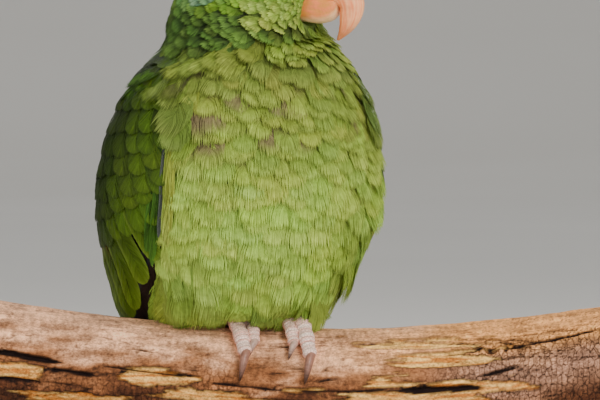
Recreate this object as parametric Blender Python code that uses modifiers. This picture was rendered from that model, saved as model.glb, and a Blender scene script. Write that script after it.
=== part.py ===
# A life-size green Amazon parrot, sitting fluffed up on a cut length of branch, on a plain display stand.
# Every length below is in millimetres and every angle in degrees; MM and math.radians turn them into
# Blender's metres and radians. The origin is the middle of the stand's underside, with +Z up, the branch
# along X and the bird's breast towards -Y. Inside the bird, x is to its left, y to its back and z is
# counted from the top of the branch.
import math

import bpy
import bmesh
from mathutils import Matrix, Vector

MM = 0.001
GAP = 0.3                     # air between two pieces that touch

# The bird's stance
PERCH_TOP = 140.0             # the branch's top, above the floor
BIRD_OFFSET = -4.5            # the bird sits this far along the branch
BIRD_TURN = 25.0              # about the vertical, towards its own left
HEAD_TURN = 43.0              # the head's own turn, further to its left
HEAD_PLACE = (2.4, 11.6, 0.0)   # the axis that the head turns on
TAIL_LEAN = 31.0              # of the tail, back from straight down

# Trunk, as level sections: height, front, back, half width
TRUNK = (
    (134, -14, 34, 31),
    (126, -25, 39, 40.5),
    (112, -33, 45, 50),
    (90, -39, 53, 57),
    (65, -41.5, 60.5, 60.5),
    (42, -40, 65, 57),
    (24, -34, 67, 48.5),
    (11, -27, 67, 41),
    (3.5, -21, 66, 35),
)
TRUNK_SIDES = 20
TRUNK_RINGS = 10

# Neck, as level sections: height, front, back, half width
NECK = (
    (119, -27, 36, 36),
    (127, -26, 38, 38),
    (135, -18, 38, 37),
    (143, -12, 37, 34),
    (152, -8, 34, 30),
    (161, -3, 29, 24),
)

# Head, as upright sections from the face back to the nape: place, top, bottom, half width
HEAD_FACE = -30.0             # the face's plane, in front of the turning axis
HEAD = (
    (-31, 166.5, 140, 9.5),
    (-29, 168.5, 137.5, 14),
    (-25, 172.5, 135, 17.5),
    (-18, 177.5, 132, 20.5),
    (-8, 181.5, 130, 22.5),
    (4, 182, 128.5, 23.5),
    (15, 177.5, 128, 22.5),
    (24, 168, 130, 19),
    (30.5, 154, 137, 10),
)
HEAD_SIDES = 20
HEAD_RINGS = 13

# Beak: place in front of the face and height of its outer line and its inner line, and half width
UPPER_BEAK = (
    (-4, 163.6, -4, 150, 8.4),
    (4, 164.2, 1, 149.6, 8.8),
    (12.5, 162.4, 4.5, 149.2, 8.2),
    (19.5, 158, 7.5, 148.6, 7.2),
    (24, 152, 9.6, 147, 6.1),
    (25.4, 145.6, 10.9, 143, 4.7),
    (23.2, 139, 12, 137.4, 3.2),
    (18.6, 133.6, 12.7, 133.2, 1.7),
    (14.6, 130.6, 13.2, 130.6, 0.6),
)
LOWER_BEAK = (
    (-5, 138.4, -5, 149.4, 7.4),
    (1, 137.4, 1, 148.9, 7.7),
    (6, 138.2, 4.4, 148.3, 7.0),
    (9.6, 141.2, 6.8, 147.6, 5.6),
    (10.4, 145, 8.4, 146.8, 4.0),
)
CERE = (
    (-3.5, 165.2, -3.5, 155, 9.2),
    (-0.6, 165.4, -0.8, 155.6, 9.3),
    (2.0, 164.9, 1.6, 157, 9.2),
)
NOSTRIL_RADIUS = 1.2
NOSTRIL_PLACE = (5.4, 0.6, 162.4)     # half spread, in front of the face, height

EYE_RADIUS = 5.2
EYE_PLACE = (15.6, -12.0, 163.5)      # half spread, behind the face, height
EYE_RING_RADIUS = 6.15
EYE_RING_THICK = 1.05
EYE_ROOM = 16.0

# Wing, on level guide sections: height, half width, reach ahead and behind its centre, centre's place
WING_GUIDE = (
    (124, 42, 37, 32, 10),
    (112, 52, 49, 38, 12),
    (100, 59, 55, 41, 14),
    (84, 64.5, 60, 44, 16),
    (66, 67, 64, 46, 18.5),
    (48, 66.5, 64.5, 47, 21.5),
    (30, 61.5, 58, 46, 27),
    (14, 54, 44, 40, 34),
    (-4, 44, 32, 31, 44),
    (-24, 31.5, 22, 22, 58),
    (-50, 21, 14, 14, 77),
)
WING_FRONT = ((124, -30), (100, -40), (60, -40), (30, -37), (3, -23), (-14, -5), (-50, 18))
WING_BACK = ((124, 36), (112, 54), (90, 70), (60, 80), (30, 86), (-50, 87))
# Each layer of a wing: its outer face's depth, its thickness, and its rows and columns
WING_LAYERS = {
    "coverts": (0.0, 6.2, 5, 10),
    "secondaries": (1.7, 5.0, 3, 15),
    "primaries": (4.0, 3.4, 4, 9),
}
COVERTS_SHOWN = 5
SECONDARIES_SHOWN = 5
PRIMARIES_SHOWN = 3
PRIMARIES_WIDTH = 0.74

# Tail
TAIL_ROOT = (0.0, 57.0, 6.0)
TAIL_LENGTH = 112.0
TAIL_WIDTH = (29.0, 45.0)     # at the root and near the tip
TAIL_THICK = (7.0, 2.4)
TAIL_ARCH = 4.5               # how far its edges droop below its middle
TAIL_FEATHERS = 6
# Tail coverts, along the tail: place, upper face, lower face, half width
TAIL_COVERTS = (
    (-26, 13, -27, 28),
    (-8, 13, -24, 26.5),
    (10, 10.5, -17, 23.5),
    (27, 7.2, -11.5, 20.5),
    (42, 5.0, -7.5, 18),
    (55, 3.2, -4.4, 14),
)

# Legs
FEET = {"r": -9.8, "l": 13.0}         # each foot's place along the branch
TOE_RADIUS = 3.55
# Toe: places along the branch at its root and its tip, for either foot, then the angles round the
# branch at its root, its tip and its claw's point, and its size
TOES = {
    "outer_front": ({"r": (-12.8, -8.2), "l": (15.8, 20.8)}, 4, 57, 84, 1.0),
    "inner_front": ({"r": (-6.6, -4.6), "l": (10.0, 13.2)}, 4, 44, 66, 0.84),
    "outer_hind": ({"r": (-12.6, -21.0), "l": (15.6, 22.0)}, -4, -54, -84, 0.96),
    "inner_hind": ({"r": (-6.8, -9.5), "l": (10.2, 7.5)}, -4, -32, -56, 0.82),
}
CLAW_RADIUS = 2.0
TARSUS_RADIUS = 3.5
THIGH_RADIUS = 13.5

# Branch
BRANCH_LENGTH = 304.0
BRANCH_RADIUS = 26.0
BRANCH_LOW_AT = 25.0          # where its top is lowest
BRANCH_SAG = 0.0006         # rise per squared millimetre from there
BRANCH_SIDES = 18
BRANCH_RINGS = 11

# Stand
BASE_SIZE = (200.0, 150.0, 15.0)
BASE_CORNER = 28.0
BASE_EDGE = 2.5
ROD_SPREAD = 64.0
ROD_RADIUS = 5.0
ROD_IN_BRANCH = 9.0
ROD_IN_BASE = 7.0
COLLAR_RADIUS = 9.5
COLLAR_HEIGHT = 5.0


def clear_scene():
    for thing in list(bpy.data.objects):
        bpy.data.objects.remove(thing, do_unlink=True)


def collection(name):
    made = bpy.data.collections.new(name)
    bpy.context.scene.collection.children.link(made)
    return made


def material(name, colour, roughness, metallic=0.0):
    made = bpy.data.materials.new(name)
    made.use_nodes = True
    shader = made.node_tree.nodes["Principled BSDF"]
    shader.inputs["Base Color"].default_value = (*colour, 1.0)
    shader.inputs["Roughness"].default_value = roughness
    shader.inputs["Metallic"].default_value = metallic
    made.diffuse_color = (*colour, 1.0)
    return made


def empty(name, place, turn, parent=None):
    made = bpy.data.objects.new(name, None)
    parts.objects.link(made)
    made.parent = parent
    made.location = Vector(place) * MM
    made.rotation_euler = (0.0, 0.0, math.radians(turn))
    return made


def add_object(name, mesh, finish, parent=None):
    made = bpy.data.objects.new(name, mesh)
    parts.objects.link(made)
    made.parent = parent
    mesh.materials.append(finish)
    return made


def smooth(obj, sharp_angle=40.0):
    obj.data.shade_smooth()
    obj.data.set_sharp_from_angle(angle=math.radians(sharp_angle))
    return obj


def curve_rows(rows, count):
    # Catmull-Rom through the rows, so that a few sections give a smooth run of count sections.
    made = []
    last = len(rows) - 1
    for step in range(count):
        at = step / (count - 1) * last
        i = min(int(at), last - 1)
        t = at - i
        before, a, b, after = (rows[max(0, min(last, i + k))] for k in (-1, 0, 1, 2))
        made.append([
            0.5 * (2 * q + (r - p) * t + (2 * p - 5 * q + 4 * r - s) * t * t
                   + (3 * q - p - 3 * r + s) * t ** 3)
            for p, q, r, s in zip(before, a, b, after)
        ])
    return made


def at_height(rows, height):
    # The row of a table at this height, read between its neighbours; the table runs downwards.
    if height >= rows[0][0]:
        return rows[0][1:]
    for upper, lower in zip(rows, rows[1:]):
        if height >= lower[0]:
            share = (upper[0] - height) / (upper[0] - lower[0])
            share = share * share * (3 - 2 * share) * 0.4 + share * 0.6
            return [a + (b - a) * share for a, b in zip(upper[1:], lower[1:])]
    return rows[-1][1:]


def power(value, exponent):
    return math.copysign(abs(value) ** exponent, value)


def ring(first, second, half_width, sides, square=2.0, widest=0.0):
    # A closed section whose middle line runs from first to second, half_width to each side. The widest
    # place lies off the middle by the share widest, towards first.
    middle = (first + second) / 2
    half = (first - second) / 2
    points = []
    for k in range(sides):
        angle = 2 * math.pi * k / sides
        along = power(math.cos(angle), 2 / square) + widest * math.sin(angle) ** 2
        across = power(math.sin(angle), 2 / square)
        points.append(middle + half * along + Vector((half_width * across, 0, 0)))
    return points


def solid(name, bm, finish, parent=None):
    # The object made of this closed mesh, its facets all flat.
    bmesh.ops.triangulate(bm, faces=bm.faces)
    bmesh.ops.recalc_face_normals(bm, faces=bm.faces)
    mesh = bpy.data.meshes.new(name)
    bm.to_mesh(mesh)
    bm.free()
    return smooth(add_object(name, mesh, finish, parent))


def bridge(name, rings, finish, parent=None):
    # One closed solid through the rings, with flat ends.
    bm = bmesh.new()
    loops = [[bm.verts.new(p * MM) for p in points] for points in rings]
    for one, two in zip(loops, loops[1:]):
        for k in range(len(one)):
            n = (k + 1) % len(one)
            bm.faces.new((one[k], one[n], two[n], two[k]))
    bm.faces.new(loops[0])
    bm.faces.new(loops[-1])
    return solid(name, bm, finish, parent)


def tube(name, centres, radii, sides, finish, parent=None):
    # A round solid along the centres, its radius changing from place to place.
    rings = []
    across = None
    for k, (centre, radius) in enumerate(zip(centres, radii)):
        ahead = centres[min(k + 1, len(centres) - 1)] - centres[max(k - 1, 0)]
        ahead.normalize()
        if across is None:
            across = ahead.orthogonal().normalized()
        across = (across - ahead * across.dot(ahead)).normalized()
        other = ahead.cross(across)
        rings.append([
            centre + (across * math.cos(a) + other * math.sin(a)) * radius
            for a in (2 * math.pi * n / sides for n in range(sides))
        ])
    return bridge(name, rings, finish, parent)


def cylinder(name, radius, low, high, place, finish, parent=None, sides=12):
    bm = bmesh.new()
    bmesh.ops.create_cone(
        bm, cap_ends=True, segments=sides, radius1=radius * MM, radius2=radius * MM,
        depth=(high - low) * MM,
        matrix=Matrix.Translation(Vector((place[0], place[1], (low + high) / 2)) * MM),
    )
    return solid(name, bm, finish, parent)


def world_mesh(name, objects, grow):
    # The objects' whole shapes, before anything was taken from them, grown outwards by grow millimetres.
    bpy.context.view_layer.update()
    whole = bmesh.new()
    for obj in objects:
        bm = bmesh.new()
        bm.from_mesh(obj.data)
        bm.transform(obj.matrix_world)
        bm.normal_update()
        moved = [(v, v.co + v.normal * min(1.5, v.calc_shell_factor()) * grow * MM) for v in bm.verts]
        for vertex, place in moved:
            vertex.co = place
        grown = bpy.data.meshes.new(obj.name + "_grown")
        bm.to_mesh(grown)
        bm.free()
        whole.from_mesh(grown)
        bpy.data.meshes.remove(grown)
    mesh = bpy.data.meshes.new(name)
    whole.to_mesh(mesh)
    whole.free()
    return mesh


def helper(name, mesh):
    made = bpy.data.objects.new(name, mesh)
    cutters.objects.link(made)
    made.hide_render = True
    made.display_type = "WIRE"
    return made


def boolean(target, other, operation):
    modifier = target.modifiers.new(operation.lower(), "BOOLEAN")
    modifier.operation = operation
    modifier.object = other
    modifier.solver = "EXACT"
    modifier.use_self = True


def part_from(target, *neighbours, gap=GAP):
    # Takes the neighbours' shapes, and a gap round them, out of the target.
    name = f"{target.name}_less_{neighbours[0].name}"
    boolean(target, helper(name, world_mesh(name, neighbours, gap)), "DIFFERENCE")


def settle(target):
    # Fixes what the Booleans left, and keeps the one main body without its crumbs.
    bpy.context.view_layer.update()
    graph = bpy.context.evaluated_depsgraph_get()
    mesh = bpy.data.meshes.new_from_object(target.evaluated_get(graph))
    bm = bmesh.new()
    bm.from_mesh(mesh)
    bodies, seen = [], set()
    for start in bm.verts:
        if start in seen:
            continue
        body, waiting = [], [start]
        seen.add(start)
        while waiting:
            vertex = waiting.pop()
            body.append(vertex)
            for edge in vertex.link_edges:
                other = edge.other_vert(vertex)
                if other not in seen:
                    seen.add(other)
                    waiting.append(other)
        bodies.append(body)
    bodies.sort(key=len)
    for body in bodies[:-1]:
        bmesh.ops.delete(bm, geom=body, context="VERTS")
    bm.to_mesh(mesh)
    bm.free()
    target.modifiers.clear()
    target.data = mesh
    smooth(target)


def join(target, pieces):
    # Makes the pieces one solid with the target.
    name = target.name + "_joined"
    boolean(target, helper(name, world_mesh(name, pieces, 0.0)), "UNION")
    for piece in pieces:
        bpy.data.objects.remove(piece)


def level_sections(rows, count, sides, square, widest=0.0):
    return [
        ring(Vector((0, front, z)), Vector((0, back, z)), half, sides, square, widest)
        for z, front, back, half in curve_rows(rows, count)
    ]


def make_trunk():
    rings = level_sections(TRUNK, TRUNK_RINGS, TRUNK_SIDES, 2.15, 0.08)
    return bridge("trunk", rings, finishes["green_breast"], bird)


def make_neck():
    rings = level_sections(NECK, 6, TRUNK_SIDES, 2.1)
    return bridge("neck", rings, finishes["green_neck"], bird)


def make_head():
    rings = [
        ring(Vector((0, y, top)), Vector((0, y, bottom)), half, HEAD_SIDES, 2.2, -0.06)
        for y, top, bottom, half in curve_rows(HEAD, HEAD_RINGS)
    ]
    return bridge("head", rings, finishes["green_cheek"], head_axis)


def beak_rings(rows, count, sides, square):
    return [
        ring(
            Vector((0, HEAD_FACE - outer_y, outer_z)),
            Vector((0, HEAD_FACE - inner_y, inner_z)),
            max(half, 0.4), sides, square, -0.25,
        )
        for outer_y, outer_z, inner_y, inner_z, half in curve_rows(rows, count)
    ]


def make_beak():
    upper = bridge("beak_upper", beak_rings(UPPER_BEAK, 12, 12, 2.2), finishes["horn"], head_axis)
    lower = bridge("beak_lower", beak_rings(LOWER_BEAK, 6, 12, 2.4), finishes["horn"], head_axis)
    cere = bridge("cere", beak_rings(CERE, 3, 14, 2.3), finishes["bare_skin"], head_axis)
    part_from(cere, upper)
    spread, ahead, height = NOSTRIL_PLACE
    for side in (-1, 1):
        pit = bmesh.new()
        place = Vector((side * spread, HEAD_FACE - ahead, height)) * MM
        bmesh.ops.create_icosphere(
            pit, subdivisions=1, radius=NOSTRIL_RADIUS * MM, matrix=Matrix.Translation(place)
        )
        pit.transform(head_axis.matrix_world)
        mesh = bpy.data.meshes.new("nostril")
        pit.to_mesh(mesh)
        pit.free()
        boolean(cere, helper(f"nostril_{side}", mesh), "DIFFERENCE")
    part_from(lower, upper)
    return upper, lower, cere


def make_eye(side_name, side):
    # The eye, the bare ring round it, and the room that both take in the head.
    spread, back, height = EYE_PLACE
    centre = Vector((side * spread, HEAD_FACE - back, height))
    outward = Vector((side * 0.95, -0.28, 0.06)).normalized()
    turn = outward.to_track_quat("Z", "Y").to_matrix().to_4x4()
    bm = bmesh.new()
    reach = (EYE_RING_RADIUS + 1.25 * EYE_RING_THICK + GAP) * MM
    bmesh.ops.create_cone(
        bm, cap_ends=True, segments=14, radius1=reach, radius2=reach, depth=EYE_ROOM * MM
    )
    bm.transform(Matrix.Translation((centre + outward * (EYE_ROOM / 2 - EYE_RADIUS - 1.3)) * MM) @ turn)
    room = solid(f"eye_room_{side_name}", bm, finishes["eye"], head_axis)
    room.hide_render = True
    room.display_type = "WIRE"
    bm = bmesh.new()
    bmesh.ops.create_uvsphere(bm, u_segments=12, v_segments=7, radius=EYE_RADIUS * MM)
    bm.transform(Matrix.Translation((centre - outward * 1.0) * MM) @ turn)
    solid(f"eye_{side_name}", bm, finishes["eye"], head_axis)
    around = [
        centre + outward * 1.7 + turn.to_3x3() @ Vector((math.cos(a), math.sin(a), 0)) * EYE_RING_RADIUS
        for a in (2 * math.pi * k / 14 for k in range(14))
    ]
    bm = bmesh.new()
    loops = []
    for point in around:
        radial = (point - centre - outward * 1.7).normalized()
        loops.append([
            bm.verts.new((point + (radial * math.cos(a) * 1.25 + outward * math.sin(a))
                          * EYE_RING_THICK) * MM)
            for a in (2 * math.pi * k / 5 for k in range(5))
        ])
    for k, loop in enumerate(loops):
        following = loops[(k + 1) % len(loops)]
        for n in range(5):
            m = (n + 1) % 5
            bm.faces.new((loop[n], loop[m], following[m], following[n]))
    solid(f"eye_ring_{side_name}", bm, finishes["bare_skin"], head_axis)
    return room


def wing_point(side, height, share, depth):
    # A point on the folded wing: share runs from its front edge, 0, to its back edge, 1.
    half_width, ahead, behind, centre = at_height(WING_GUIDE, height)
    front = at_height(WING_FRONT, height)[0]
    back = at_height(WING_BACK, height)[0]
    angle = math.radians(front + (back - front) * share)
    half_depth = ahead if angle < 0 else behind
    outward = Vector((math.cos(angle) / half_width, math.sin(angle) / half_depth, 0)).normalized()
    point = Vector((half_width * math.cos(angle), centre + half_depth * math.sin(angle), height))
    point -= outward * depth
    return Vector((side * point.x, point.y, point.z))


def scallop(share, feathers, depth):
    # How far a feather's rounded tip falls short of its own end, across a row of feathers.
    across = (share * feathers) % 1.0 * 2 - 1
    return depth * across ** 4


def wing_reach(layer, share):
    # The top and the bottom of a wing's layer at this share of its width.
    if layer == "coverts":
        top = 121 - 8 * abs(2 * share - 1) ** 3
        return top, 61 - 16 * math.sin(math.pi * min(1.0, share * 1.1)) - scallop(share, COVERTS_SHOWN, -2.5)
    if layer == "secondaries":
        falling = min(1.0, share / 0.28)
        rising = max(0.0, (share - 0.6) / 0.4)
        return 70, 31 - 28 * falling + 14 * rising ** 1.5 + scallop(share, SECONDARIES_SHOWN, 4.5)
    tip = -47 + 44 * max(0.0, (share - 0.36) / 0.64) ** 1.3 + 32 * max(0.0, (0.3 - share) / 0.3) ** 1.6
    return 62, tip + scallop(share, PRIMARIES_SHOWN, 5)


def make_slab(name, outer, inner, finish):
    # One closed solid between two like grids of points, given as columns.
    bm = bmesh.new()
    grids = [[[bm.verts.new(p * MM) for p in column] for column in grid] for grid in (outer, inner)]
    for grid in grids:
        for one, two in zip(grid, grid[1:]):
            for r in range(len(one) - 1):
                bm.faces.new((one[r], one[r + 1], two[r + 1], two[r]))
    rims = [
        g[0][:-1] + [c[-1] for c in g[:-1]] + g[-1][:0:-1] + [c[0] for c in g[:0:-1]] for g in grids
    ]
    for k in range(len(rims[0])):
        n = (k + 1) % len(rims[0])
        bm.faces.new((rims[0][k], rims[0][n], rims[1][n], rims[1][k]))
    return solid(name, bm, finish, bird)


def make_wing_layer(side_name, side, layer):
    depth, thick, rows, columns = WING_LAYERS[layer]
    width = PRIMARIES_WIDTH if layer == "primaries" else 1.0
    outer, inner = [], []
    for c in range(columns + 1):
        share = c / columns
        top, bottom = wing_reach(layer, share)
        rim = min(share, 1 - share) * 9
        outer.append([])
        inner.append([])
        for r in range(rows + 1):
            down = r / rows
            height = top + (bottom - top) * down
            sunk = depth * (1 - 0.35 * down) + max(0.0, 0.5 - rim) * 1.6
            thinning = min(1.0, 0.25 + rim) * (1 - 0.72 * down)
            outer[-1].append(wing_point(side, height, share * width, sunk))
            inner[-1].append(wing_point(side, height, share * width, sunk + max(0.8, thick * thinning)))
    return make_slab(f"wing_{side_name}_{layer}", outer, inner, finishes["green_wing"])


def make_wing(side_name, side):
    coverts, secondaries, primaries = (make_wing_layer(side_name, side, n) for n in WING_LAYERS)
    part_from(primaries, secondaries, coverts, branch)
    part_from(secondaries, coverts, branch)
    return coverts, secondaries, primaries


def tail_frame():
    # From along the tail, across it and out of its upper face, to the bird's own frame.
    lean = math.radians(TAIL_LEAN)
    along = Vector((0, math.sin(lean), -math.cos(lean)))
    upper = Vector((0, math.cos(lean), math.sin(lean)))
    return Vector(TAIL_ROOT), along, upper


def make_tail():
    root, along, upper = tail_frame()
    columns, rows = TAIL_FEATHERS * 2, 3
    faces = []
    for face in (1, -1):
        grid = []
        for c in range(columns + 1):
            share = 2 * c / columns - 1
            reach = TAIL_LENGTH - 9 * share ** 2 - scallop((share + 1) / 2, TAIL_FEATHERS, 4)
            column = []
            for r in range(rows + 1):
                down = r / rows
                half_width = (TAIL_WIDTH[0] + (TAIL_WIDTH[1] - TAIL_WIDTH[0]) * down ** 0.7) / 2
                thick = TAIL_THICK[0] + (TAIL_THICK[1] - TAIL_THICK[0]) * down
                lift = face * thick / 2 * (1 - 0.6 * share ** 2) - TAIL_ARCH * share ** 2
                place = root + along * (reach * down) + upper * lift
                column.append(place + Vector((half_width * share, 0, 0)))
            grid.append(column)
        faces.append(grid)
    return make_slab("tail", *faces, finishes["green_tail"])


def make_tail_coverts():
    root, along, upper = tail_frame()
    rings = [
        ring(root + along * place + upper * high, root + along * place + upper * low, half, 20, 2.2)
        for place, high, low, half in curve_rows(TAIL_COVERTS, 8)
    ]
    return bridge("tail_coverts", rings, finishes["green_breast"], bird)


def branch_top(x):
    return BRANCH_SAG * (x - BRANCH_LOW_AT) ** 2 - BRANCH_SAG * BRANCH_LOW_AT ** 2


def bark_radius(x, angle):
    # The branch isn't quite round: low ridges run along it, and it thickens towards its left end.
    swell = 1.3 * math.sin(x / 47 + 0.8) + 0.008 * max(0.0, -x - 30)
    ridges = 0.45 * math.sin(3 * angle + x / 38) + 0.3 * math.sin(5 * angle - x / 29 + 1.0)
    return BRANCH_RADIUS + swell + ridges


def branch_point(x, angle, off=0.0):
    # A point round the branch: the angle runs from its top over the front, off is above the bark.
    top = bark_radius(x, 0.0)
    reach = bark_radius(x, angle) + off
    return Vector((x, -reach * math.sin(angle), branch_top(x) - top + reach * math.cos(angle)))


def make_branch():
    rings = []
    for k in range(BRANCH_RINGS):
        x = (k / (BRANCH_RINGS - 1) - 0.5) * BRANCH_LENGTH
        rings.append([branch_point(x, 2 * math.pi * n / BRANCH_SIDES) for n in range(BRANCH_SIDES)])
    return bridge("branch", rings, finishes["bark"], perch)


def make_foot(side_name, side):
    foot = FEET[side_name]
    toes = []
    for toe, (places, *angles, size) in TOES.items():
        x0, x1 = places[side_name]
        first, last, claw_end = (math.radians(angle) for angle in angles)
        centres, radii = [], []
        for k in range(7):
            t = k / 6
            radius = TOE_RADIUS * size * (1 - 0.2 * t) * (1 + 0.06 * math.cos(t * 6 * math.pi))
            radii.append(radius)
            centres.append(branch_point(x0 + (x1 - x0) * t, first + (last - first) * t, radius + GAP))
        toes.append(tube(f"toe_{toe}_{side_name}", centres, radii, 7, finishes["scaly_skin"], perch))
        centres, radii = [], []
        start = last + math.copysign(3 * GAP / BRANCH_RADIUS, last)
        for k in range(5):
            t = k / 4
            radius = max(0.4, CLAW_RADIUS * size * (1 - t ** 2))
            lift = radius + GAP + 2.2 * size * math.sin(math.pi * min(1.0, 0.28 + t * 0.72))
            radii.append(radius)
            centres.append(branch_point(x1 - 1.6 * side * t, start + (claw_end - start) * t, lift))
        tube(f"claw_{side_name}_{toe}", centres, radii, 6, finishes["claw"], perch)
    heel = branch_point(foot, 0.0, TOE_RADIUS + 0.9)
    ankle = heel + Vector((side * 8.0, 13.0, 12.0))
    knee = heel + Vector((side * 9.5, 12.0, 19.0))
    path = [
        heel + Vector((0, -3.0, 0.2)), heel + Vector((side * 1.5, 1.5, 1.2)), (heel + ankle) / 2,
        ankle, knee,
    ]
    radii = [2.6, TARSUS_RADIUS + 0.5, TARSUS_RADIUS, TARSUS_RADIUS + 0.4, 3.0]
    foot_solid = tube(f"foot_{side_name}", path, radii, 8, finishes["scaly_skin"], perch)
    bm = bmesh.new()
    bmesh.ops.create_cube(bm, size=MM)
    low = min(min(places[side_name]) for places, *_ in TOES.values()) - TOE_RADIUS
    high = max(max(places[side_name]) for places, *_ in TOES.values()) + TOE_RADIUS
    bm.transform(
        Matrix.Translation(Vector(((low + high) / 2, 0.0, branch_top(foot) + TOE_RADIUS)) * MM)
        @ Matrix.Diagonal((high - low, 2 * TOE_RADIUS + 2 * BRANCH_RADIUS, 2 * TOE_RADIUS + 0.6, 1.0))
    )
    toe_room = solid(f"toe_room_{side_name}", bm, finishes["scaly_skin"], perch)
    name = f"leg_room_{side_name}"
    room = helper(name, world_mesh(name, [foot_solid, toe_room], GAP))
    bpy.data.objects.remove(toe_room)
    join(foot_solid, toes)
    return foot_solid, room


def make_thigh(side_name, side):
    # The feathered thigh, a rounded lump under the belly round the leg.
    centre = Vector((side * 16.5, 2.0, 17.0))
    bm = bmesh.new()
    bmesh.ops.create_uvsphere(bm, u_segments=14, v_segments=8, radius=THIGH_RADIUS * MM)
    stretch = Matrix.Diagonal((1.0, 1.12, 1.02, 1.0))
    bm.transform(Matrix.Translation(centre * MM) @ stretch)
    return solid(f"thigh_{side_name}", bm, finishes["green_breast"], bird)


def make_base():
    width, depth, height = BASE_SIZE
    points = []
    for corner in range(4):
        sx, sy = ((1, 1), (-1, 1), (-1, -1), (1, -1))[corner]
        centre = Vector((sx * (width / 2 - BASE_CORNER), sy * (depth / 2 - BASE_CORNER), 0))
        for k in range(5):
            angle = math.radians(90 * corner + 22.5 * k)
            points.append(centre + Vector((math.cos(angle), math.sin(angle), 0)) * BASE_CORNER)
    bm = bmesh.new()
    lower = bm.faces.new([bm.verts.new(p * MM) for p in points])
    pushed = bmesh.ops.extrude_face_region(bm, geom=[lower])
    for vertex in (v for v in pushed["geom"] if isinstance(v, bmesh.types.BMVert)):
        vertex.co.z += height * MM
    bmesh.ops.recalc_face_normals(bm, faces=bm.faces)
    mesh = bpy.data.meshes.new("stand_base")
    bm.to_mesh(mesh)
    bm.free()
    base = add_object("stand_base", mesh, finishes["stand_wood"])
    bevel = base.modifiers.new("edge", "BEVEL")
    bevel.width = BASE_EDGE * MM
    bevel.segments = 2
    bevel.limit_method = "ANGLE"
    bevel.angle_limit = math.radians(60)
    return base


def make_rod(side_name, side, base, branch):
    x = side * ROD_SPREAD
    branch_underside = PERCH_TOP + branch_point(x, math.pi).z
    low, high = BASE_SIZE[2] - ROD_IN_BASE, branch_underside + ROD_IN_BRANCH
    rod = cylinder(f"stand_rod_{side_name}", ROD_RADIUS, low, high, (x, 0), finishes["stand_metal"])
    collar = cylinder(
        f"stand_collar_{side_name}", COLLAR_RADIUS, BASE_SIZE[2] + GAP, BASE_SIZE[2] + COLLAR_HEIGHT,
        (x, 0), finishes["stand_metal"],
    )
    part_from(base, rod)
    part_from(branch, rod)
    part_from(collar, rod)


clear_scene()
parts = collection("amazon_parrot")
cutters = collection("cutters")
finishes = {
    "green_breast": material("green_breast", (0.30, 0.42, 0.08), 0.75),
    "green_neck": material("green_neck", (0.24, 0.42, 0.08), 0.75),
    "green_cheek": material("green_cheek", (0.27, 0.47, 0.06), 0.7),
    "green_wing": material("green_wing", (0.11, 0.24, 0.04), 0.6),
    "green_tail": material("green_tail", (0.14, 0.28, 0.05), 0.6),
    "horn": material("horn", (0.78, 0.52, 0.38), 0.35),
    "bare_skin": material("bare_skin", (0.72, 0.66, 0.60), 0.6),
    "scaly_skin": material("scaly_skin", (0.62, 0.48, 0.43), 0.65),
    "claw": material("claw", (0.30, 0.22, 0.20), 0.4),
    "eye": material("eye", (0.75, 0.42, 0.08), 0.1),
    "bark": material("bark", (0.40, 0.28, 0.19), 0.85),
    "stand_wood": material("stand_wood", (0.05, 0.04, 0.035), 0.5),
    "stand_metal": material("stand_metal", (0.55, 0.55, 0.56), 0.35, 1.0),
}
perch = empty("perch", (0, 0, PERCH_TOP), 0)
bird = empty("bird", (BIRD_OFFSET, 0, PERCH_TOP), BIRD_TURN)
head_axis = empty("head_axis", HEAD_PLACE, HEAD_TURN, bird)
bpy.context.view_layer.update()

branch = make_branch()
trunk = make_trunk()
neck = make_neck()
head = make_head()
upper_beak, lower_beak, cere = make_beak()
tail = make_tail()
tail_coverts = make_tail_coverts()
face_cutters = [upper_beak, lower_beak, cere]
trunk_cutters = [neck, tail_coverts, branch]
vent_cutters = []
wing_layers = []
primaries = []
for side_name, side in (("l", 1), ("r", -1)):
    face_cutters.append(make_eye(side_name, side))
    layers = make_wing(side_name, side)
    wing_layers += layers
    primaries.append(layers[2])
    thigh = make_thigh(side_name, side)
    foot, room = make_foot(side_name, side)
    part_from(thigh, room, gap=0.0)
    trunk_cutters += [thigh, room]
    vent_cutters += [thigh, room]
part_from(head, *face_cutters)
part_from(neck, head, lower_beak, *wing_layers[::3])
part_from(tail, tail_coverts, *primaries)
part_from(tail_coverts, *wing_layers, *vent_cutters, branch)
part_from(trunk, *trunk_cutters, *wing_layers)
for cut in (trunk, neck, head, tail, tail_coverts, *wing_layers):
    settle(cut)
base = make_base()
for side_name, side in (("l", 1), ("r", -1)):
    make_rod(side_name, side, base, branch)
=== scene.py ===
import math
import bpy
import bmesh
import numpy as np
from mathutils import Matrix, Vector, noise
from mathutils.bvhtree import BVHTree
from mathutils.geometry import barycentric_transform
from mathutils.kdtree import KDTree


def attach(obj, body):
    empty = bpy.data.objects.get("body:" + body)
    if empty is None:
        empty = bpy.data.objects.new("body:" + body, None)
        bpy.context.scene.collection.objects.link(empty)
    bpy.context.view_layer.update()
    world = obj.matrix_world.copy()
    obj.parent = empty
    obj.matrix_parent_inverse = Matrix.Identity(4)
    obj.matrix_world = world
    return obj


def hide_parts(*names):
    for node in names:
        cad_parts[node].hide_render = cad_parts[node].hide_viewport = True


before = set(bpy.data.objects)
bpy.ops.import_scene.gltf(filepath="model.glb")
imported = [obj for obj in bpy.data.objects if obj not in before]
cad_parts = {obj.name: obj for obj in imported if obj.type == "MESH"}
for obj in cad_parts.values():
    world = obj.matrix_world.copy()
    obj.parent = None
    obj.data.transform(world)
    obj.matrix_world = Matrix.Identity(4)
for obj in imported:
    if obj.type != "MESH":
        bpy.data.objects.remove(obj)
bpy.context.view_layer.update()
mm = 0.001

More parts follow.
